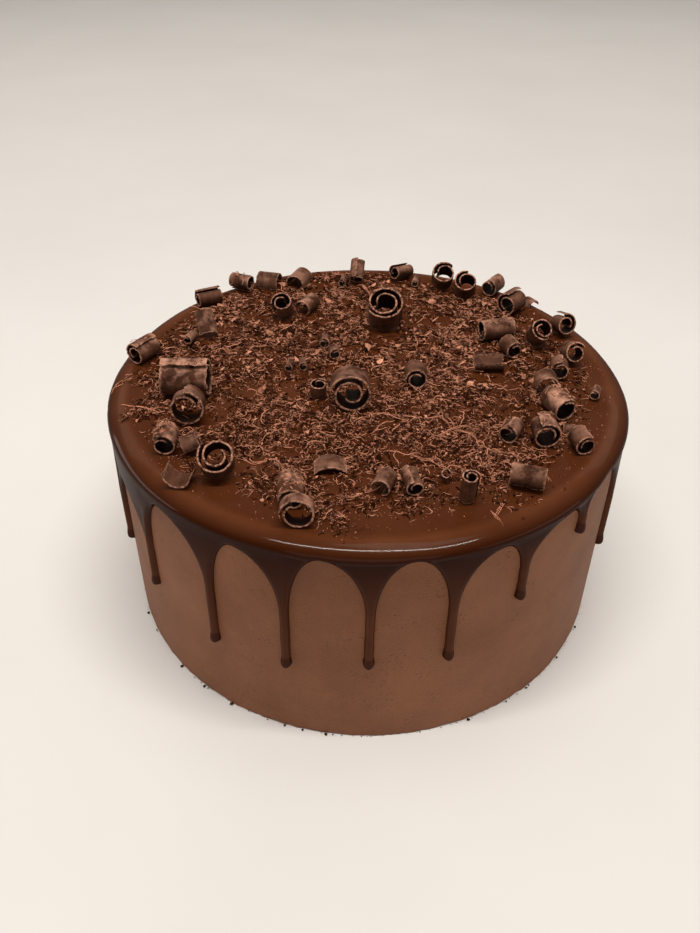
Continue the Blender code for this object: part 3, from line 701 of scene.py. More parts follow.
# %% Table of curls
Curl = namedtuple(
    "Curl", "name x y heading rise radius length turns start way inner", defaults=(1.4, 110, -1, 0.5)
)
CURLS = [
    Curl("curl_west_rim", -94.6, 8.5, 238, 0, 5.1, 12.0, 1.5, 60, 1),
    Curl("curl_west_wide", -71.7, -17.4, 181, 0, 8.0, 19.3, 1.3, 70, 1, 0.62),
    Curl("curl_west_small", -78.0, 23.2, 249, 0, 2.6, 5.9, 1.2),
    Curl("curl_west_ring", -67.8, -36.1, 274, 10, 7.2, 7.9, 1.25, 95, -1, 0.62),
    Curl("shell_southwest", -63.6, -72.9, 261, 0, 5.4, 8.2, 0.5, 175, 1, 0.95),
    Curl("curl_southwest_roll", -72.7, -53.3, 271, 0, 4.9, 10.1, 1.3, 150),
    Curl("curl_southwest_narrow", -63.0, -55.3, 16, 20, 3.8, 6.4, 1.6, 200, -1, 0.36),
    Curl("curl_southwest_coil", -51.2, -68.0, 275, 55, 6.9, 8.1, 1.8, 130, 1, 0.42),
    Curl("curl_northwest_roll", -75.5, 59.0, 210, 0, 4.4, 12.0, 1.3, 80, 1),
    Curl("shell_northwest_tile", -72.9, 34.0, 290, -40, 4.6, 12.3, 0.42, 15, 1, 0.95),
    Curl("curl_northwest_barrel", -62.4, 74.8, 338, 0, 4.2, 10.8, 1.3, 250, 1, 0.6),
    Curl("shell_north_dome", -49.5, 79.9, 348, 0, 5.8, 11.0, 0.55, -5, 1, 0.85),
    Curl("shell_north_arch", -35.1, 83.1, 249, 0, 5.3, 11.4, 0.6, -15, 1, 0.8),
    Curl("curl_north_west", -39.2, 46.2, 262, 57, 5.1, 9.5, 1.4, 200),
    Curl("curl_north_west_flap", -28.3, 54.6, 244, 0, 4.6, 10.6, 0.7, 190, -1, 0.7),
    Curl("curl_north_upright", -5.7, 86.7, 265, -40, 4.1, 10.2, 1.3, 90, 1),
    Curl("curl_north_small", -13.2, 81.8, 260, 0, 2.5, 5.6, 1.2),
    Curl("curl_north_east", 16.2, 90.1, 224, 10, 3.9, 11.7, 1.3, 120, 1),
    Curl("curl_north_east_small", 22.7, 83.8, 260, 0, 2.3, 6.6, 1.2),
    Curl("curl_feature", 7.1, 41.9, 271, 63, 8.9, 10.5, 2.0, 200, 1, 0.42),
    Curl("curl_northeast_ring_a", 36.3, 80.7, 271, 57, 6.2, 8.0, 1.4, 40, 1, 0.55),
    Curl("curl_northeast_ring_b", 46.5, 71.9, 263, 60, 6.0, 8.0, 1.4, 80, 1, 0.55),
    Curl("curl_northeast_roll_a", 60.0, 76.5, 235, 0, 4.7, 9.6, 1.3, 100),
    Curl("curl_northeast_roll_b", 67.1, 57.8, 228, 0, 5.6, 10.6, 1.5, 80, 1),
    Curl("shell_northeast_shard", 77.0, 65.1, 303, 0, 3.4, 5.8, 0.45, 10, 1, 0.95),
    Curl("curl_east_inner_roll", 56.6, 32.0, 196, 0, 5.0, 15.3, 1.4, 240, 1),
    Curl("curl_east_inner_lean", 61.5, 18.1, 292, 0, 4.3, 7.8, 1.2, 60, 1),
    Curl("shell_east_boat", 51.0, 6.1, 181, 0, 4.9, 13.4, 0.5, 180, 1, 0.95),
    Curl("curl_east_ring_a", 74.8, 26.6, 285, 50, 5.3, 8.0, 1.6, -70, -1, 0.45),
    Curl("curl_east_ring_b", 86.4, 36.7, 290, 18, 5.1, 8.2, 1.4, 100),
    Curl("curl_east_ring_c", 86.6, 12.4, 280, 24, 4.8, 7.8, 1.3, 20, 1, 0.55),
    Curl("curl_east_ring_d", 79.5, 1.3, 261, 5, 4.4, 7.9, 1.2, 80, 1, 0.6),
    Curl("curl_east_open", 72.1, -10.7, 272, 0, 5.0, 7.9, 0.75, 190, -1, 0.85),
    Curl("curl_east_tiny", 90.9, -14.3, 251, 5, 2.5, 6.0, 1.2),
    Curl("curl_east_crumpled", 74.1, -25.6, 292, 0, 5.2, 12.1, 1.2, 40, 1, 0.7),
    Curl("shell_east_zigzag", 78.6, -37.1, 352, 0, 2.3, 8.4, 0.5, 0, 1, 0.95),
    Curl("curl_southeast_large", 65.7, -44.4, 274, 0, 5.7, 9.1, 1.4, 120, -1, 0.55),
    Curl("curl_southeast_back", 53.5, -43.2, 240, 0, 4.3, 7.1, 1.2, 100, -1, 0.6),
    Curl("curl_southeast_ring", 78.9, -48.7, 282, 0, 4.4, 8.1, 1.4, 60, 1),
    Curl("curl_southeast_barrel", 55.9, -71.1, 344, 0, 4.5, 12.6, 1.4, 250, 1),
    Curl("curl_south_roll", -24.6, -80.0, 275, 0, 4.8, 12.3, 1.2, 190, -1, 0.6),
    Curl("curl_south_ring", -21.4, -92.6, 270, 4, 6.3, 4.6, 1.25, 200, -1, 0.68),
    Curl("shell_south_arch", -12.3, -63.2, 275, 0, 8.3, 8.1, 0.27, 42, 1, 1.0),
    Curl("curl_south_shard", 6.8, -74.1, 250, 0, 3.9, 8.2, 0.8, 200, -1, 0.8),
    Curl("curl_south_narrow", 16.5, -72.9, 281, 0, 3.6, 10.2, 1.3, 100, 1),
    Curl("curl_south_upright", 35.0, -79.3, 271, 84, 3.5, 11.3, 1.6, 0, 1, 0.4),
    Curl("curl_centre_upright", -19.0, -17.7, 270, 86, 3.9, 5.9, 1.3, 30, 1, 0.6),
    Curl("curl_centre_open", -6.2, -23.8, 272, 5, 8.5, 9.9, 1.9, 180, -1, 0.35),
    Curl("curl_centre_ring", 19.9, -6.9, 271, 5, 4.9, 9.9, 1.5, 210),
    Curl("curl_centre_small_a", -19.1, 21.8, 270, 0, 2.9, 4.8, 1.2),
    Curl("curl_centre_small_b", -14.0, 12.8, 281, 0, 3.0, 4.8, 1.2, 60, 1),
    Curl("curl_centre_pair_a", -32.8, 2.1, 265, 0, 2.3, 4.9, 1.2),
    Curl("curl_centre_pair_b", -26.7, 3.2, 275, 0, 2.3, 4.9, 1.2, 60, 1),
    Curl("curl_south_loop", 28.0, -68.6, 271, 45, 2.0, 4.1, 0.9, 0, 1, 0.8),
]
print("curls:", len(CURLS))

# %% [markdown]
# Each strip has an outer face, an inner face and a rounded rim between them. One grid runs round the strip's
# own cross-section while the other direction follows the spiral. Brittle chocolate breaks rather than cuts,
# so the two rims and both ends of the strip are ragged, and the strip is thinnest where the blade left the
# block.

# %% Curl form
CURL_THICKNESS = 0.42
THICKNESS_PER_RADIUS = 0.06
TIGHTENING = 1.5
CURL_GAP = 0.25  # the shavings under a curl hold it off the glaze


def curl_axes(item):
    """The curl's axis towards its mouth, and the directions to the right and up for someone facing the
    mouth."""
    heading, rise = math.radians(item.heading), math.radians(item.rise)
    flat = np.array([math.cos(heading), math.sin(heading), 0.0])
    axis = flat * math.cos(rise) + np.array([0.0, 0.0, math.sin(rise)])
    right = np.array([-math.sin(heading), math.cos(heading), 0.0])
    return axis, right, np.cross(right, -axis)


def strip_section():
    """Round the strip's cross-section: (place along the axis from -1 to 1, depth from 0 outside to 1
    inside)."""
    across = np.array([-1, -0.985, -0.94, -0.86, -0.7, -0.5, -0.25, 0, 0.25, 0.5, 0.7, 0.86, 0.94, 0.985, 1])
    edge = np.array([0.28, 0.1, 0.03, 0, 0, 0, 0, 0, 0, 0, 0, 0, 0.03, 0.1, 0.28])
    return np.concatenate([across, across[::-1]]), np.concatenate([edge, 1 - edge])


def make_curl(item, seed):
    """The spiral's radius at a share of its length is the curl's times 1 - (1 - inner) share ** 1.5, less
    the strip's thickness on the inner face. Noise makes the rims and both ends ragged. Returned are the
    points, three masks and a flat map of the strip: rim is 1 on the rims and ends, inside on the inner
    face of a closed curl, where the material paints shade, and upwards where the outer face looks up, since
    that is where dust settles and where the material also paints a sheen where the light falls."""
    axis, right, up = curl_axes(item)
    steps = max(12, round(46 * item.turns))
    share = (1 - np.cos(np.linspace(0, math.pi, steps))) / 2 * 0.25 + np.linspace(0, 1, steps) * 0.75
    along, depth = strip_section()
    s, u = np.meshgrid(share, along, indexing="ij")
    d = np.broadcast_to(depth, s.shape)
    arc = s * item.turns * 2 * math.pi * item.radius
    torn = 0.05 * np.abs(soft_noise(arc / 0.9, np.sign(u) * 3 + 9, seed))
    torn = torn + 0.03 * np.abs(soft_noise(arc / 0.35, np.sign(u) * 3 + 30, seed))
    ends = np.exp(-s * 40) - np.exp((s - 1) * 40)
    s = s + ends * 0.02 * np.abs(soft_noise(u * item.length / 1.6 + 20, np.sign(ends) * 3 + 50, seed))
    angle = np.radians(item.start) + item.way * 2 * math.pi * item.turns * s
    uneven = 0.92 + 0.08 * soft_noise(arc / 3, u * 2 + 9, seed)
    thickness = (CURL_THICKNESS + THICKNESS_PER_RADIUS * item.radius) * uneven
    taper = np.clip(np.minimum(s, 1 - s) * item.turns * 14, 0.25, 1)
    mid = 0.5 * (1 - taper)
    outer = item.radius * (1 - (1 - item.inner) * np.clip(s, 0, 1) ** TIGHTENING)
    outer = outer - 0.1 + 0.1 * soft_noise(arc / 2.5, u * item.length / 6 + 60, seed)
    radius = outer - thickness * (mid + d * taper)
    half = item.length / 2 * (0.99 - torn * np.abs(u) ** 6)
    turned = np.cos(angle)[..., None] * right + np.sin(angle)[..., None] * up
    points = turned * radius[..., None] + axis * (u * half)[..., None]
    lowest = points[..., 2].min()
    points = points + np.array([item.x, item.y, GLAZE_TOP + CURL_GAP - lowest])
    rim = np.clip((np.abs(u) - 0.9) / 0.08, 0, 1)
    rim = np.maximum(rim, np.exp(-np.minimum(s, 1 - s) * item.turns * 30))
    inside = d * np.clip((item.turns - 0.5) / 0.4, 0, 1)
    upwards = np.clip((turned[..., 2] - 0.1) / 0.7, 0, 1) * (1 - d)
    strip = np.stack([arc, u * item.length / 2 + 3 * item.radius * d], axis=-1)
    return points, rim, inside, upwards, strip


def curl_squares(steps, around, way):
    """The tube of squares round the section, and the strip's two ends closed like a zip."""
    index = np.arange(steps * around).reshape(steps, around)
    tube = grid_squares(index, around=True)
    half = around // 2
    zips = []
    for row, turned in ((index[0], False), (index[-1], True)):
        face = np.stack([row[:half], row[::-1][:half]])
        squares = grid_squares(face)
        zips.append(squares[:, ::-1] if turned else squares)
    squares = np.concatenate([tube, *zips])
    return squares[:, ::-1] if way > 0 else squares


print("widest and narrowest curl, mm:", [2 * pick(item.radius for item in CURLS) for pick in (max, min)])

# %% [markdown]
# Curls that rub against each other turn pale: cocoa butter comes to the surface along the rims and wherever
# the strip was scraped. The outer face is also paler where it looks up: partly dust, partly a painted sheen
# where the light falls. Deep inside the roll hardly any light arrives, so the inner face is painted almost
# black, a painted shade. The rim and inside masks are worked out with the form, and the material only
# breaks them up with noise.

# %% Curl material
CURL_DARK = (0.022, 0.0075, 0.0035, 1)
CURL_LIGHT = (0.085, 0.033, 0.018, 1)
BLOOM_AND_SHEEN_COLOUR = (0.42, 0.215, 0.145, 1)
HOLLOW_SHADE = (0.2, 0.15, 0.12, 1)


def make_curl_material():
    material, tree, shader = start_material("curled_chocolate", Roughness=0.5, Specular_IOR_Level=0.04)
    body = use_group(tree, mottling, Dark=CURL_DARK, Light=CURL_LIGHT, Scale=170.0, Fine=0.5)
    speck = noise(tree, 900.0, 3.0, 0.7)
    patch = spread(tree, noise(tree, 150.0, 3.0, 0.65), 0.42, 0.66)
    worn_rim = calculate(tree, "MULTIPLY", spread(tree, speck, 0.4, 0.6), mask(tree, "rim"))
    # The pale blend: real bloom on the worn rims, dust on the upper face, and a painted sheen there where the
    # light falls.
    bloom_and_sheen = calculate(tree, "MULTIPLY_ADD", patch, mask(tree, "dust_and_sheen"), worn_rim, clamp=True)
    pale = blend(tree, bloom_and_sheen, body.outputs["Colour"], BLOOM_AND_SHEEN_COLOUR)
    # The inner face is multiplied darker, a painted shade for the little light inside the roll.
    hollow_shade = calculate(tree, "SUBTRACT", mask(tree, "inside"), mask(tree, "rim"), clamp=True)
    feed(tree, shader, Base_Color=blend(tree, hollow_shade, pale, HOLLOW_SHADE, blend_type="MULTIPLY"))
    strip = add_node(tree, "ShaderNodeUVMap", uv_map="strip").outputs["UV"]
    stretched = feed(tree, add_node(tree, "ShaderNodeMapping"), Vector=strip, Scale=(0.35, 3.2, 1))
    lines = noise(tree, 1.6, 4.0, 0.6, stretched.outputs["Vector"])
    add_bump(tree, shader, calculate(tree, "ADD", lines, speck), 0.6, 0.00025)
    return material


curl_finish = make_curl_material()
print("material:", curl_finish.name)

# %% [markdown]
# All the curls now come out of the table. Each replaces its own solid, and takes its own share of pale dust
# and painted sheen.

# %% Make the curls
DUSTY = {"curl_west_wide": 1.0, "curl_southwest_roll": 0.9, "curl_east_crumpled": 1.0, "curl_south_roll": 0.9}


def make_curls():
    chance = np.random.default_rng(5)
    for k, item in enumerate(CURLS):
        points, rim, inside, upwards, strip = make_curl(item, 100 + k)
        steps, around = rim.shape
        # The dust mask rises on faces that look up: dust, and a painted sheen where the light falls.
        dust_and_sheen = DUSTY.get(item.name, chance.uniform(0.2, 0.7)) * (0.15 + 0.85 * upwards)
        masks = {"rim": rim, "inside": inside, "dust_and_sheen": dust_and_sheen}
        points, strip = points.reshape(-1, 3), strip.reshape(-1, 2)
        squares = curl_squares(steps, around, item.way)
        obj = mesh_piece(item.name + "_rolled", points, squares, curl_finish, masks, strip)
        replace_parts(obj, item.name)


make_curls()


# %% [markdown]
# ## Shavings
# Grated chocolate covers the middle of the cake: thousands of curly threads less than half a millimetre wide,
# with chips and dust between them. They lie thick in some places and let the glaze show in others. Modelling
# each one by hand is out of the question, so one short rule draws them all: a place, a heading that wanders
# from step to step, and a height that rises where many lie on each other.
#
# First comes the rule for where they lie: a density between 0 and 1 for any place on the top.

# %% Where the shavings lie
SHAVED_RADIUS = 92.0
HEAP_X, HEAP_Y = 0.657, -0.751  # the way in which the slanting heap runs


def shaving_density(x, y):
    """High in the middle and at the back, low in clumpy gaps, and falling to nothing in a ragged band near
    the rim. Streaks reach further out at the left, and two heaps lie at the front, one slanting and one at
    the right."""
    radius, bearing = np.hypot(x, y), np.degrees(np.arctan2(x, -y))
    broad, fine = soft_noise(x / 9 + 30, y / 9 + 30, 41), soft_noise(x / 3.4 + 60, y / 3.4 + 60, 42)
    clumps = 0.52 + 0.45 * broad + 0.6 * fine
    ragged = 4.5 * soft_noise(bearing / 12 + 40, radius / 40 + 5, 43)
    behind = 1 + np.cos(np.radians(bearing - 180))
    streaks = 0.6 + soft_noise(bearing / 5 + 90, radius / 60 + 9, 45)
    streaks = 10 * np.exp(-(((bearing + 80) / 22) ** 2)) * streaks
    limit = SHAVED_RADIUS - 3 + 4.0 * behind + ragged + streaks
    fall = np.clip((limit - radius) / 9, 0, 1)
    along = (x + 12) * HEAP_X + (y + 88) * HEAP_Y
    across = (y + 88) * HEAP_X - (x + 12) * HEAP_Y
    heap = np.exp(-((along / 10) ** 4) - (across / 3.2) ** 2)
    heap = heap + np.exp(-(((x - 49) / 9) ** 2) - ((y + 58) / 14) ** 2)
    return np.clip(clumps * fall + 0.9 * heap, 0, 1)


def clear_of_curls(x, y, margin):
    """Whether each place lies outside the footprint of every curl."""
    clear = np.ones(x.shape, bool)
    for item in CURLS:
        axis, right, _ = curl_axes(item)
        flat = np.array([math.cos(math.radians(item.heading)), math.sin(math.radians(item.heading))])
        along = np.abs((x - item.x) * flat[0] + (y - item.y) * flat[1])
        across = np.abs((x - item.x) * right[0] + (y - item.y) * right[1])
        rise = abs(axis[2])
        reach = item.length / 2 * math.sqrt(1 - rise * rise) + item.radius * rise + margin
        clear &= (along > reach) | (across > 0.75 * item.radius + margin)
    return clear


def scatter(count, seed, density=shaving_density, margin=0.0, radius=GLAZE_RADIUS - 4):
    """Random places on the top, kept with a chance equal to the density there."""
    chance = np.random.default_rng(seed)
    tries = count * 12
    far = radius * np.sqrt(chance.random(tries))
    turn = chance.random(tries) * 2 * math.pi
    x, y = far * np.cos(turn), far * np.sin(turn)
    kept = (chance.random(tries) < density(x, y)) & clear_of_curls(x, y, margin)
    found = np.flatnonzero(kept)[:count]
    return x[found], y[found], chance


middle_and_rim = shaving_density(np.array([0.0, 0.0]), np.array([0.0, -98.0]))
print("density in the middle and near the rim:", middle_and_rim.round(2))

# %% [markdown]
# A thread is a three-sided tube along its path. Its width shrinks towards both ends, and its side direction
# is level, so a tube costs few points and still catches the light on its top edge.

# %% Threads
def thread_mesh(x, y, heading, length, width, wander, lift, chance, steps=7, ground=top_height):
    """Paths as arrays of (thread, step): the heading turns by a random amount at each step, and the height
    follows a shallow random arch and slope."""
    count = len(x)
    turning = chance.normal(0, 1, (count, steps)) * wander + chance.normal(0, 0.35, (count, 1)) * wander
    heading = heading[:, None] + np.cumsum(turning, axis=1)
    step = (length / (steps - 1))[:, None]
    px = x[:, None] + np.cumsum(np.cos(heading) * step, axis=1)
    py = y[:, None] + np.cumsum(np.sin(heading) * step, axis=1)
    share = np.linspace(0, 1, steps)
    arch = chance.uniform(0, 1, (count, 1)) * np.sin(np.pi * share) * 0.12 * length[:, None]
    slope = chance.normal(0, 0.1, (count, 1)) * (share - 0.5) * length[:, None]
    pz = ground(px, py) + np.maximum(0.02, lift[:, None] + arch + slope)
    return thread_tubes(px, py, pz, heading, width, chance)


def thread_tubes(px, py, pz, heading, width, chance):
    """Three-sided tubes along paths given as arrays of (thread, step). Round each point of a path stand
    three corners at 90, 210 and 330 degrees."""
    count, steps = px.shape
    share = np.linspace(0, 1, steps)
    pointed = np.where((share == 0) | (share == 1), 0.35, 1)
    taper = (0.35 + 0.65 * np.sin(np.pi * np.clip(share * 0.86 + 0.07, 0, 1))) * pointed
    half = 0.5 * width[:, None] * taper * chance.uniform(0.75, 1.25, (count, steps))
    side_x, side_y = -np.sin(heading), np.cos(heading)
    corners = []
    for degrees in (90, 210, 330):
        out, rise = math.cos(math.radians(degrees)), math.sin(math.radians(degrees))
        corner = [px + side_x * half * out, py + side_y * half * out, pz + half * (rise + 0.5)]
        corners.append(np.stack(corner, axis=-1))
    points = np.stack(corners, axis=2)
    index = np.arange(count * steps * 3).reshape(count, steps, 3)
    tube = grid_squares(index, around=True)
    start, end = index[:, 0], index[:, -1]
    caps = np.concatenate([start[:, [0, 1, 2, 2]], end[:, [2, 1, 0, 0]]])
    return points.reshape(-1, 3), np.concatenate([tube[:, ::-1], caps[:, ::-1]])


def loose_piece(name, points, squares, tone):
    """Grated chocolate: flat faces, and one tone for all points of a thread or chip."""
    tones = np.repeat(tone, len(points) // len(tone))
    obj = mesh_piece(name, points, squares, shaving_finish, {"tone": tones})
    obj.data.shade_flat()
    return obj


def make_threads(name, count, seed, lengths, widths, wander, pile, tones, margin=0.4, steps=7):
    """Threads scattered on the top. lengths and widths are ranges in mm, wander is how much a thread turns
    at each step, pile is the height they heap up to, and tones is the mean and the spread of their tones.
    Threads that lie higher are painted lighter, a painted light."""
    x, y, chance = scatter(count, seed, margin=margin)
    count = len(x)
    crowd = shaving_density(x, y)
    lift = chance.random(count) ** 1.5 * pile * crowd
    length = chance.uniform(*lengths, count) * (0.6 + 0.8 * chance.random(count) ** 2)
    heading = chance.uniform(0, 2 * math.pi, count)
    width = chance.uniform(*widths, count)
    points, squares = thread_mesh(x, y, heading, length, width, wander, lift, chance, steps)
    # Higher threads get a lighter tone: painted light on the top of the heap.
    tone = np.clip(chance.normal(tones[0], tones[1], count) + 0.25 * lift / max(pile, 0.1), 0, 1)
    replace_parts(loose_piece(name, points, squares, tone), "ganache_glaze")


# %% [markdown]
# The colour of a shaving goes from the dark of a fresh cut to a pale pinkish brown where the chocolate has
# bloomed. Each thread carries its own tone as an attribute, and a fine noise along it adds light and dark
# spots. The tone also holds painted light and shade: higher threads are lighter, and the lowest layer is
# dark as a painted shade in the gaps.

# %% Shaving material
SHAVING_TONES = (
    (0.0, (0.013, 0.0030, 0.0010, 1)),
    (0.4, (0.050, 0.0145, 0.0052, 1)),
    (1.0, (0.58, 0.26, 0.16, 1)),
)


def make_shaving_material():
    material, tree, shader = start_material("grated_chocolate", Roughness=0.65, Specular_IOR_Level=0.02)
    spots = spread(tree, noise(tree, 1100.0), 0.3, 0.7, -0.2, 0.2)
    tone = calculate(tree, "ADD", mask(tree, "tone"), spots, clamp=True)
    feed(tree, shader, Base_Color=ramp(tree, tone, SHAVING_TONES))
    return material


shaving_finish = make_shaving_material()
# The low layer is nearly black: dark threads that fill the gaps as a painted shade.
make_threads("shavings_low_shade", 4200, 51, (2.0, 5.0), (0.35, 0.65), 0.45, 0.5, (0.08, 0.12))
make_threads("shavings_middle", 5000, 52, (1.2, 3.6), (0.22, 0.42), 0.8, 1.2, (0.36, 0.27))
make_threads("shavings_top", 5000, 53, (1.8, 6.5), (0.17, 0.34), 0.8, 1.7, (0.72, 0.32))
make_threads("shaving_strands", 120, 54, (7.0, 14.0), (0.25, 0.42), 0.34, 1.9, (0.9, 0.15), steps=15)

# %% [markdown]
# The longest strands catch the eye, so these few are listed one by one, each as a row of places that it passes
# through. They lie over the rest, and a little noise keeps them from running straight between two places.

# %% Long strands
LONG_STRANDS = [
    [(30.1, -29.5), (34.3, -39.9), (39.4, -41.6), (43.0, -47.1), (44.5, -60.1)],
    [(18.0, -33.3), (28.5, -30.3), (31.7, -39.3)],
    [(22.2, -41.0), (26.9, -45.2), (33.7, -38.0), (39.4, -37.1)],
    [(46.1, -52.4), (52.5, -53.4), (55.5, -57.9)],
    [(17.3, -55.2), (28.4, -62.4), (31.6, -66.2)],
    [(46.9, -79.0), (43.3, -86.6)],
    [(41.9, -84.2), (46.3, -91.9)],
    [(45.5, -73.3), (49.3, -70.5)],
    [(-10.0, -78.4), (-4.8, -80.8), (0.2, -76.5), (5.3, -73.7)],
    [(-47.0, -58.0), (-40.0, -62.0), (-33.0, -60.0), (-28.0, -66.0)],
    [(-96.0, -26.0), (-86.0, -30.0), (-80.0, -33.0)],
]


def make_long_strands(copies=3, steps=18):
    """Each row is followed by a few threads side by side, as far apart as their own width."""
    chance = np.random.default_rng(66)
    px, py = [], []
    for row in LONG_STRANDS:
        places = np.array(row)
        at = np.concatenate([[0], np.cumsum(np.hypot(*np.diff(places, axis=0).T))])
        share = np.linspace(0, at[-1], steps)
        for _ in range(copies):
            shift = 0.7 * soft_noise(share[None] / 2.2 + 9 * chance.random(), np.array([[3.0], [60.0]]), 67)
            offset = chance.normal(0, 0.3, 2)
            px.append(np.interp(share, at, places[:, 0]) + shift[0] + offset[0])
            py.append(np.interp(share, at, places[:, 1]) + shift[1] + offset[1])
    px, py = np.array(px), np.array(py)
    heading = np.arctan2(np.gradient(py, axis=1), np.gradient(px, axis=1))
    lift = 1.2 + 0.5 * soft_noise(px / 4 + 20, py / 4 + 20, 68)
    width = chance.uniform(0.2, 0.34, len(px))
    pz = top_height(px, py) + lift * shaving_density(px, py)
    points, squares = thread_tubes(px, py, pz, heading, width, chance)
    tone = chance.uniform(0.75, 1.0, len(px))
    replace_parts(loose_piece("long_strands", points, squares, tone), "ganache_glaze")


make_long_strands()

# %% [markdown]
# Some shavings also lie on the curls. There the ground under a thread is the round back of the curl: its axis
# height plus the height of a circle at the thread's distance from the axis.

# %% Shavings on the curls
SPRINKLED = {
    "curl_west_wide": 16,
    "curl_southwest_roll": 46,
    "curl_southwest_narrow": 8,
    "curl_south_roll": 40,
    "curl_west_rim": 6,
    "curl_east_crumpled": 22,
    "curl_east_inner_roll": 22,
    "curl_northwest_barrel": 14,
    "curl_southeast_large": 8,
}


def sprinkle_curl(item, count, seed):
    """Short threads over the upper third of a lying curl."""
    axis, right, _ = curl_axes(item)
    chance = np.random.default_rng(seed)
    along = chance.uniform(-0.42, 0.42, count) * item.length
    across = chance.uniform(-0.6, 0.6, count) * item.radius
    x = item.x + axis[0] * along + right[0] * across
    y = item.y + axis[1] * along + right[1] * across

    def back_of_curl(px, py):
        offset = (px - item.x) * right[0] + (py - item.y) * right[1]
        return GLAZE_TOP + 0.1 + item.radius + np.sqrt(np.clip(item.radius**2 - offset**2, 0, None))

    heading = chance.uniform(0, 2 * math.pi, count)
    length, width = chance.uniform(1.2, 3.2, count), chance.uniform(0.25, 0.45, count)
    return thread_mesh(x, y, heading, length, width, 0.6, np.zeros(count), chance, ground=back_of_curl)


def make_sprinkles():
    found, squares, start = [], [], 0
    for k, item in enumerate(CURLS):
        if item.name in SPRINKLED:
            points, faces = sprinkle_curl(item, SPRINKLED[item.name], 300 + k)
            found.append(points)
            squares.append(faces + start)
            start += len(points)
    tone = np.random.default_rng(8).uniform(0.4, 1.0, sum(SPRINKLED.values()))
    loose_piece("shavings_on_curls", np.concatenate(found), np.concatenate(squares), tone)


make_sprinkles()

# %% [markdown]
# Between the threads lie thin chips and dust. A chip is a bent plate with a ragged outline: a point above, a
# point below and a ring of six between them. Dust has the same form with four in its ring, and is nearly as
# high as wide.

# %% Chips and dust
def chip_mesh(x, y, size, flatness, tilt, lift, chance, around, ground=top_height):
    """Two fans that share a ring: each ring point lies at a random distance from the middle, tilted by a
    random slope, and the fans' middles stand flatness times the size above and below."""
    count = len(x)
    turn = (np.arange(around) + chance.uniform(0, 1, (count, 1))) * 2 * math.pi / around
    longish = np.array([1.25, 0.85] * (around // 2))
    far = size[:, None] / 2 * chance.uniform(0.55, 1.15, (count, around)) * longish
    ring_x, ring_y = far * np.cos(turn), far * np.sin(turn)
    lean_x, lean_y = chance.normal(0, tilt, (2, count, 1))
    ring_z = ring_x * lean_x + ring_y * lean_y
    thick = flatness * size
    floor_z = ground(x, y) + lift + np.maximum(0, -ring_z.min(1)) * 0.8
    ring = np.stack([x[:, None] + ring_x, y[:, None] + ring_y, floor_z[:, None] + ring_z], axis=-1)
    above = np.stack([x, y, floor_z + thick], axis=-1)[:, None]
    below = np.stack([x, y, floor_z - 0.3 * thick], axis=-1)[:, None]
    points = np.concatenate([ring, above, below], axis=1)
    index = np.arange(count * (around + 2)).reshape(count, around + 2)
    a, b = index[:, :around], np.roll(index[:, :around], -1, axis=1)
    top, bottom = np.broadcast_to(index[:, -2:-1], a.shape), np.broadcast_to(index[:, -1:], a.shape)
    fans = [np.stack(fan, -1).reshape(-1, 4) for fan in ((a, b, top, top), (b, a, bottom, bottom))]
    return points.reshape(-1, 3), np.concatenate(fans)


def dust_density(x, y):
    """Dust lies everywhere the shavings do, and thinly in the bare band round them."""
    radius = np.hypot(x, y)
    patch = 0.5 + 0.5 * soft_noise(x / 6 + 80, y / 6 + 80, 44)
    return np.clip(0.5 * shaving_density(x, y) + 0.24 * patch**2 * (radius < 99), 0, 1)


def make_chips(name, count, seed, sizes, flatness, tilt, pile, tones, around, density):
    """Chips scattered on the top, most of them near the smaller of the two sizes. around is the number of
    corners."""
    x, y, chance = scatter(count, seed, density, margin=0.5)
    count = len(x)
    size = sizes[0] + (sizes[1] - sizes[0]) * chance.random(count) ** 2
    lift = chance.random(count) ** 2 * pile * shaving_density(x, y)
    points, squares = chip_mesh(x, y, size, flatness, tilt, lift, chance, around)
    tone = np.clip(chance.normal(tones[0], tones[1], count), 0, 1)
    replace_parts(loose_piece(name, points, squares, tone), "ganache_glaze")


def back_density(x, y):
    """Larger flakes lie mostly on the back half, and none outside the shaved radius."""
    return shaving_density(x, y) * np.clip((y + 25) / 50, 0, 1) * (np.hypot(x, y) < SHAVED_RADIUS)


make_chips("chocolate_chips", 7500, 61, (0.5, 1.7), 0.2, 0.4, 1.2, (0.36, 0.3), 6, shaving_density)
make_chips("chocolate_flakes", 1500, 63, (1.5, 4.0), 0.1, 0.35, 1.6, (0.42, 0.2), 6, back_density)
make_chips("chocolate_dust", 16000, 62, (0.2, 0.55), 0.5, 0.2, 1.0, (0.75, 0.25), 4, dust_density)

# %% [markdown]
# A few crumbs of cake and chocolate broke off at the foot while the cake was moved. Each row gives the
# bearing of a crumb and its size, and many very small ones are strewn between them.

# %% Crumbs at the foot
FOOT_CRUMBS = [
    (-64.0, 1.5), (-58.0, 0.9), (-45.0, 1.6), (-37.0, 1.4), (-36.0, 0.9), (-29.0, 1.7), (-20.0, 0.8),
    (-16.0, 1.3), (-12.0, 1.5), (-7.0, 1.6), (-5.5, 0.9), (13.0, 0.8), (24.0, 1.3), (34.0, 1.1),
    (40.0, 1.4), (41.0, 0.8), (52.0, 1.0), (63.0, 1.4), (88.0, 0.9), (121.0, 1.2), (150.0, 0.9),
    (187.0, 1.3), (224.0, 1.0), (262.0, 1.4),
]
SMALL_CRUMBS = 150


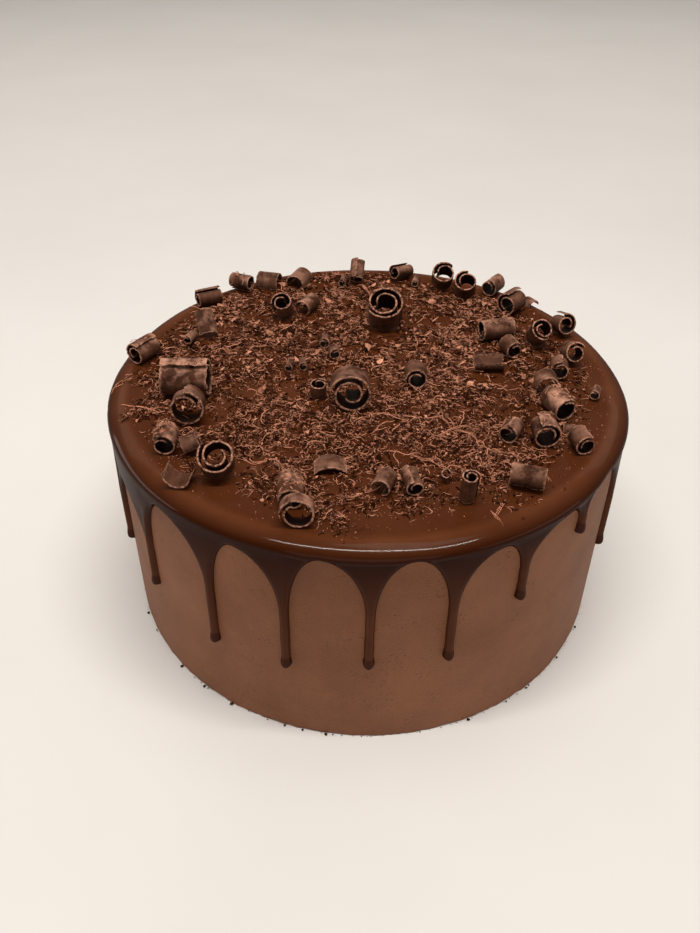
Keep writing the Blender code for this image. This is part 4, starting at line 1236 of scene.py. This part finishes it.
def make_foot_crumbs():
    """Crumbs in the corner between the cake and what it stands on: the listed ones, and the small ones."""
    chance = np.random.default_rng(64)
    table = np.array(FOOT_CRUMBS)
    bearing = np.concatenate([table[:, 0], chance.uniform(-180, 180, SMALL_CRUMBS)])
    size = np.concatenate([table[:, 1], chance.uniform(0.25, 0.6, SMALL_CRUMBS)])
    x, y, _ = on_side(bearing, FOOT_RADIUS + 0.1 + 0.35 * size, 0.0).T
    points, squares = chip_mesh(x, y, size, 0.55, 0.25, 0.1 * size, chance, 6, ground=lambda px, py: 0 * px)
    points[:, 2] = np.maximum(points[:, 2], 0.0)
    loose_piece("foot_crumbs", points, squares, chance.uniform(0.05, 0.45, len(size)))


make_foot_crumbs()

# %% [markdown]
# ## The floor
# The cake stands on a plain floor of a warm, pale grey. Anything coloured beside a cake tints its side, so a
# floor close to white keeps the browns true. It is wide enough to reach the horizon in every picture, and it
# counts as part of the stage, not of the cake.

# %% Floor
FLOOR_HALF_WIDTH = 4000
FLOOR_DEPTH = 0.2


def make_floor():
    material, tree, shader = start_material("pale_floor", Roughness=0.8)
    shades = {"Dark": (0.56, 0.545, 0.523, 1), "Light": (0.593, 0.577, 0.556, 1)}
    colour = use_group(tree, mottling, **shades, Scale=4.0, Fine=0.05)
    feed(tree, shader, Base_Color=colour.outputs["Colour"])
    across = np.linspace(-FLOOR_HALF_WIDTH, FLOOR_HALF_WIDTH, 9)
    x, y = np.meshgrid(across, across)
    points = np.stack([x, y, np.full_like(x, -FLOOR_DEPTH)], axis=-1).reshape(-1, 3) * MM
    squares = grid_squares(np.arange(x.size).reshape(x.shape))
    mesh = bpy.data.meshes.new("floor")
    mesh.from_pydata(points.tolist(), [], squares.tolist())
    mesh.materials.append(material)
    floor = bpy.data.objects.new("floor", mesh)
    bpy.context.scene.collection.objects.link(floor)
    print("floor:", round(2 * FLOOR_HALF_WIDTH * MM), "m wide")


make_floor()

# %% [markdown]
# ## The light
# Chocolate is so dark that most of what shows on it is a mirror image of something bright, so the lamps are
# placed for their images. A long thin one under the ceiling draws the bright line along the glaze's front
# edge. A wide one low in front gives the drips their soft sheen, and one at each side gives the edges of the
# cake an outline, the left one stronger. A lamp overhead, a little behind the cake, sets off the curls, and a
# wide one lights the floor at the back, so that the picture stays bright there. The sky too is dim in front
# and brighter at the back.

# %% Light
SKY = ((0.12, (0.4, 0.37, 0.34, 1)), (0.5, (0.85, 0.79, 0.73, 1)), (0.85, (1.0, 0.93, 0.86, 1)))
SKY_STRENGTH = 0.45
WARM_WHITE = (1.0, 0.95, 0.9)

Lamp = namedtuple("Lamp", "name azimuth elevation distance width height watts aim")
CAKE_MIDDLE = (0, 0, 0.07)
LAMPS = [
    Lamp("overhead", 140, 80, 1.3, 0.5, 0.36, 2.0, CAKE_MIDDLE),
    Lamp("ceiling_line", 6, 81, 0.95, 0.8, 0.035, 10.0, CAKE_MIDDLE),
    Lamp("front", 0, 20, 1.3, 1.4, 0.7, 4.0, CAKE_MIDDLE),
    Lamp("left_side", -95, 12, 1.2, 1.0, 0.3, 4.4, CAKE_MIDDLE),
    Lamp("right_side", 65, 12, 1.2, 1.0, 0.3, 1.7, CAKE_MIDDLE),
    Lamp("back_wash", 180, 90, 0.95, 2.4, 1.0, 9.0, (0, 1.15, 0)),
]


def make_sky():
    """A sky whose colour depends on how far a direction points to the back, from -1 in front to 1 behind."""
    world = bpy.data.worlds.new("studio")
    world.use_nodes = True
    tree = world.node_tree
    direction = add_node(tree, "ShaderNodeTexCoord").outputs["Generated"]
    parts = feed(tree, add_node(tree, "ShaderNodeSeparateXYZ"), Vector=direction)
    colour = ramp(tree, spread(tree, parts.outputs["Y"], -1.0, 1.0), SKY, "EASE")
    feed(tree, tree.nodes["Background"], Strength=SKY_STRENGTH, Color=colour)
    bpy.context.scene.world = world


def make_lamp(item):
    """A rectangular lamp that faces its aim. Lengths are in metres, azimuth 0 is in front of the cake and
    90 to its right, and the lamp's width lies level."""
    a, e = math.radians(item.azimuth), math.radians(item.elevation)
    direction = Vector((math.sin(a) * math.cos(e), -math.cos(a) * math.cos(e), math.sin(e)))
    lamp = bpy.data.lights.new(item.name, "AREA")
    lamp.shape = "RECTANGLE"
    lamp.size, lamp.size_y = item.width, item.height
    lamp.energy = item.watts
    lamp.color = WARM_WHITE
    obj = bpy.data.objects.new(item.name, lamp)
    obj.location = Vector(item.aim) + direction * item.distance
    obj.rotation_euler = (-direction).to_track_quat("-Z", "Y").to_euler()
    bpy.context.scene.collection.objects.link(obj)


make_sky()
for lamp_row in LAMPS:
    make_lamp(lamp_row)
print("lamps:", len(LAMPS), "with", round(sum(item.watts for item in LAMPS), 1), "watts in all")

# %% [markdown]
# ## The camera
# The picture is taken from above and in front, from the height of someone who leans over the cake. That
# close, a wide lens is needed to take all of it in, and it makes the side look narrower at the foot than at
# the rim.

# %% Camera
CAMERA_PLACE = (0, -0.2845, 0.2774)
CAMERA_DOWN, CAMERA_ROLL, CAMERA_TURN = 38.65, 0.444, -1.378
CAMERA_SENSOR = 36.0
CAMERA_LENS = CAMERA_SENSOR * 800 / 933  # 800 pixels of focal length in a picture 933 pixels high


def make_camera():
    """Its three axes, worked out from how far it looks down, rolls, and turns away from the cake's middle."""
    pitch, roll, yaw = [math.radians(angle) for angle in (CAMERA_DOWN, CAMERA_ROLL, CAMERA_TURN)]
    forward = Vector((math.sin(yaw) * math.cos(pitch), math.cos(yaw) * math.cos(pitch), -math.sin(pitch)))
    level = Vector((math.cos(yaw), -math.sin(yaw), 0))
    upright = level.cross(forward)
    right = level * math.cos(roll) + upright * math.sin(roll)
    up = upright * math.cos(roll) - level * math.sin(roll)
    data = bpy.data.cameras.new("camera")
    data.sensor_width, data.lens = CAMERA_SENSOR, CAMERA_LENS
    camera = bpy.data.objects.new("camera", data)
    turned = Matrix((right, up, -forward)).transposed().to_4x4()
    camera.matrix_world = Matrix.Translation(CAMERA_PLACE) @ turned
    bpy.context.scene.collection.objects.link(camera)
    bpy.context.scene.camera = camera
    print("lens:", round(CAMERA_LENS, 1), "mm")


make_camera()
bpy.context.scene.view_settings.view_transform = "Standard"
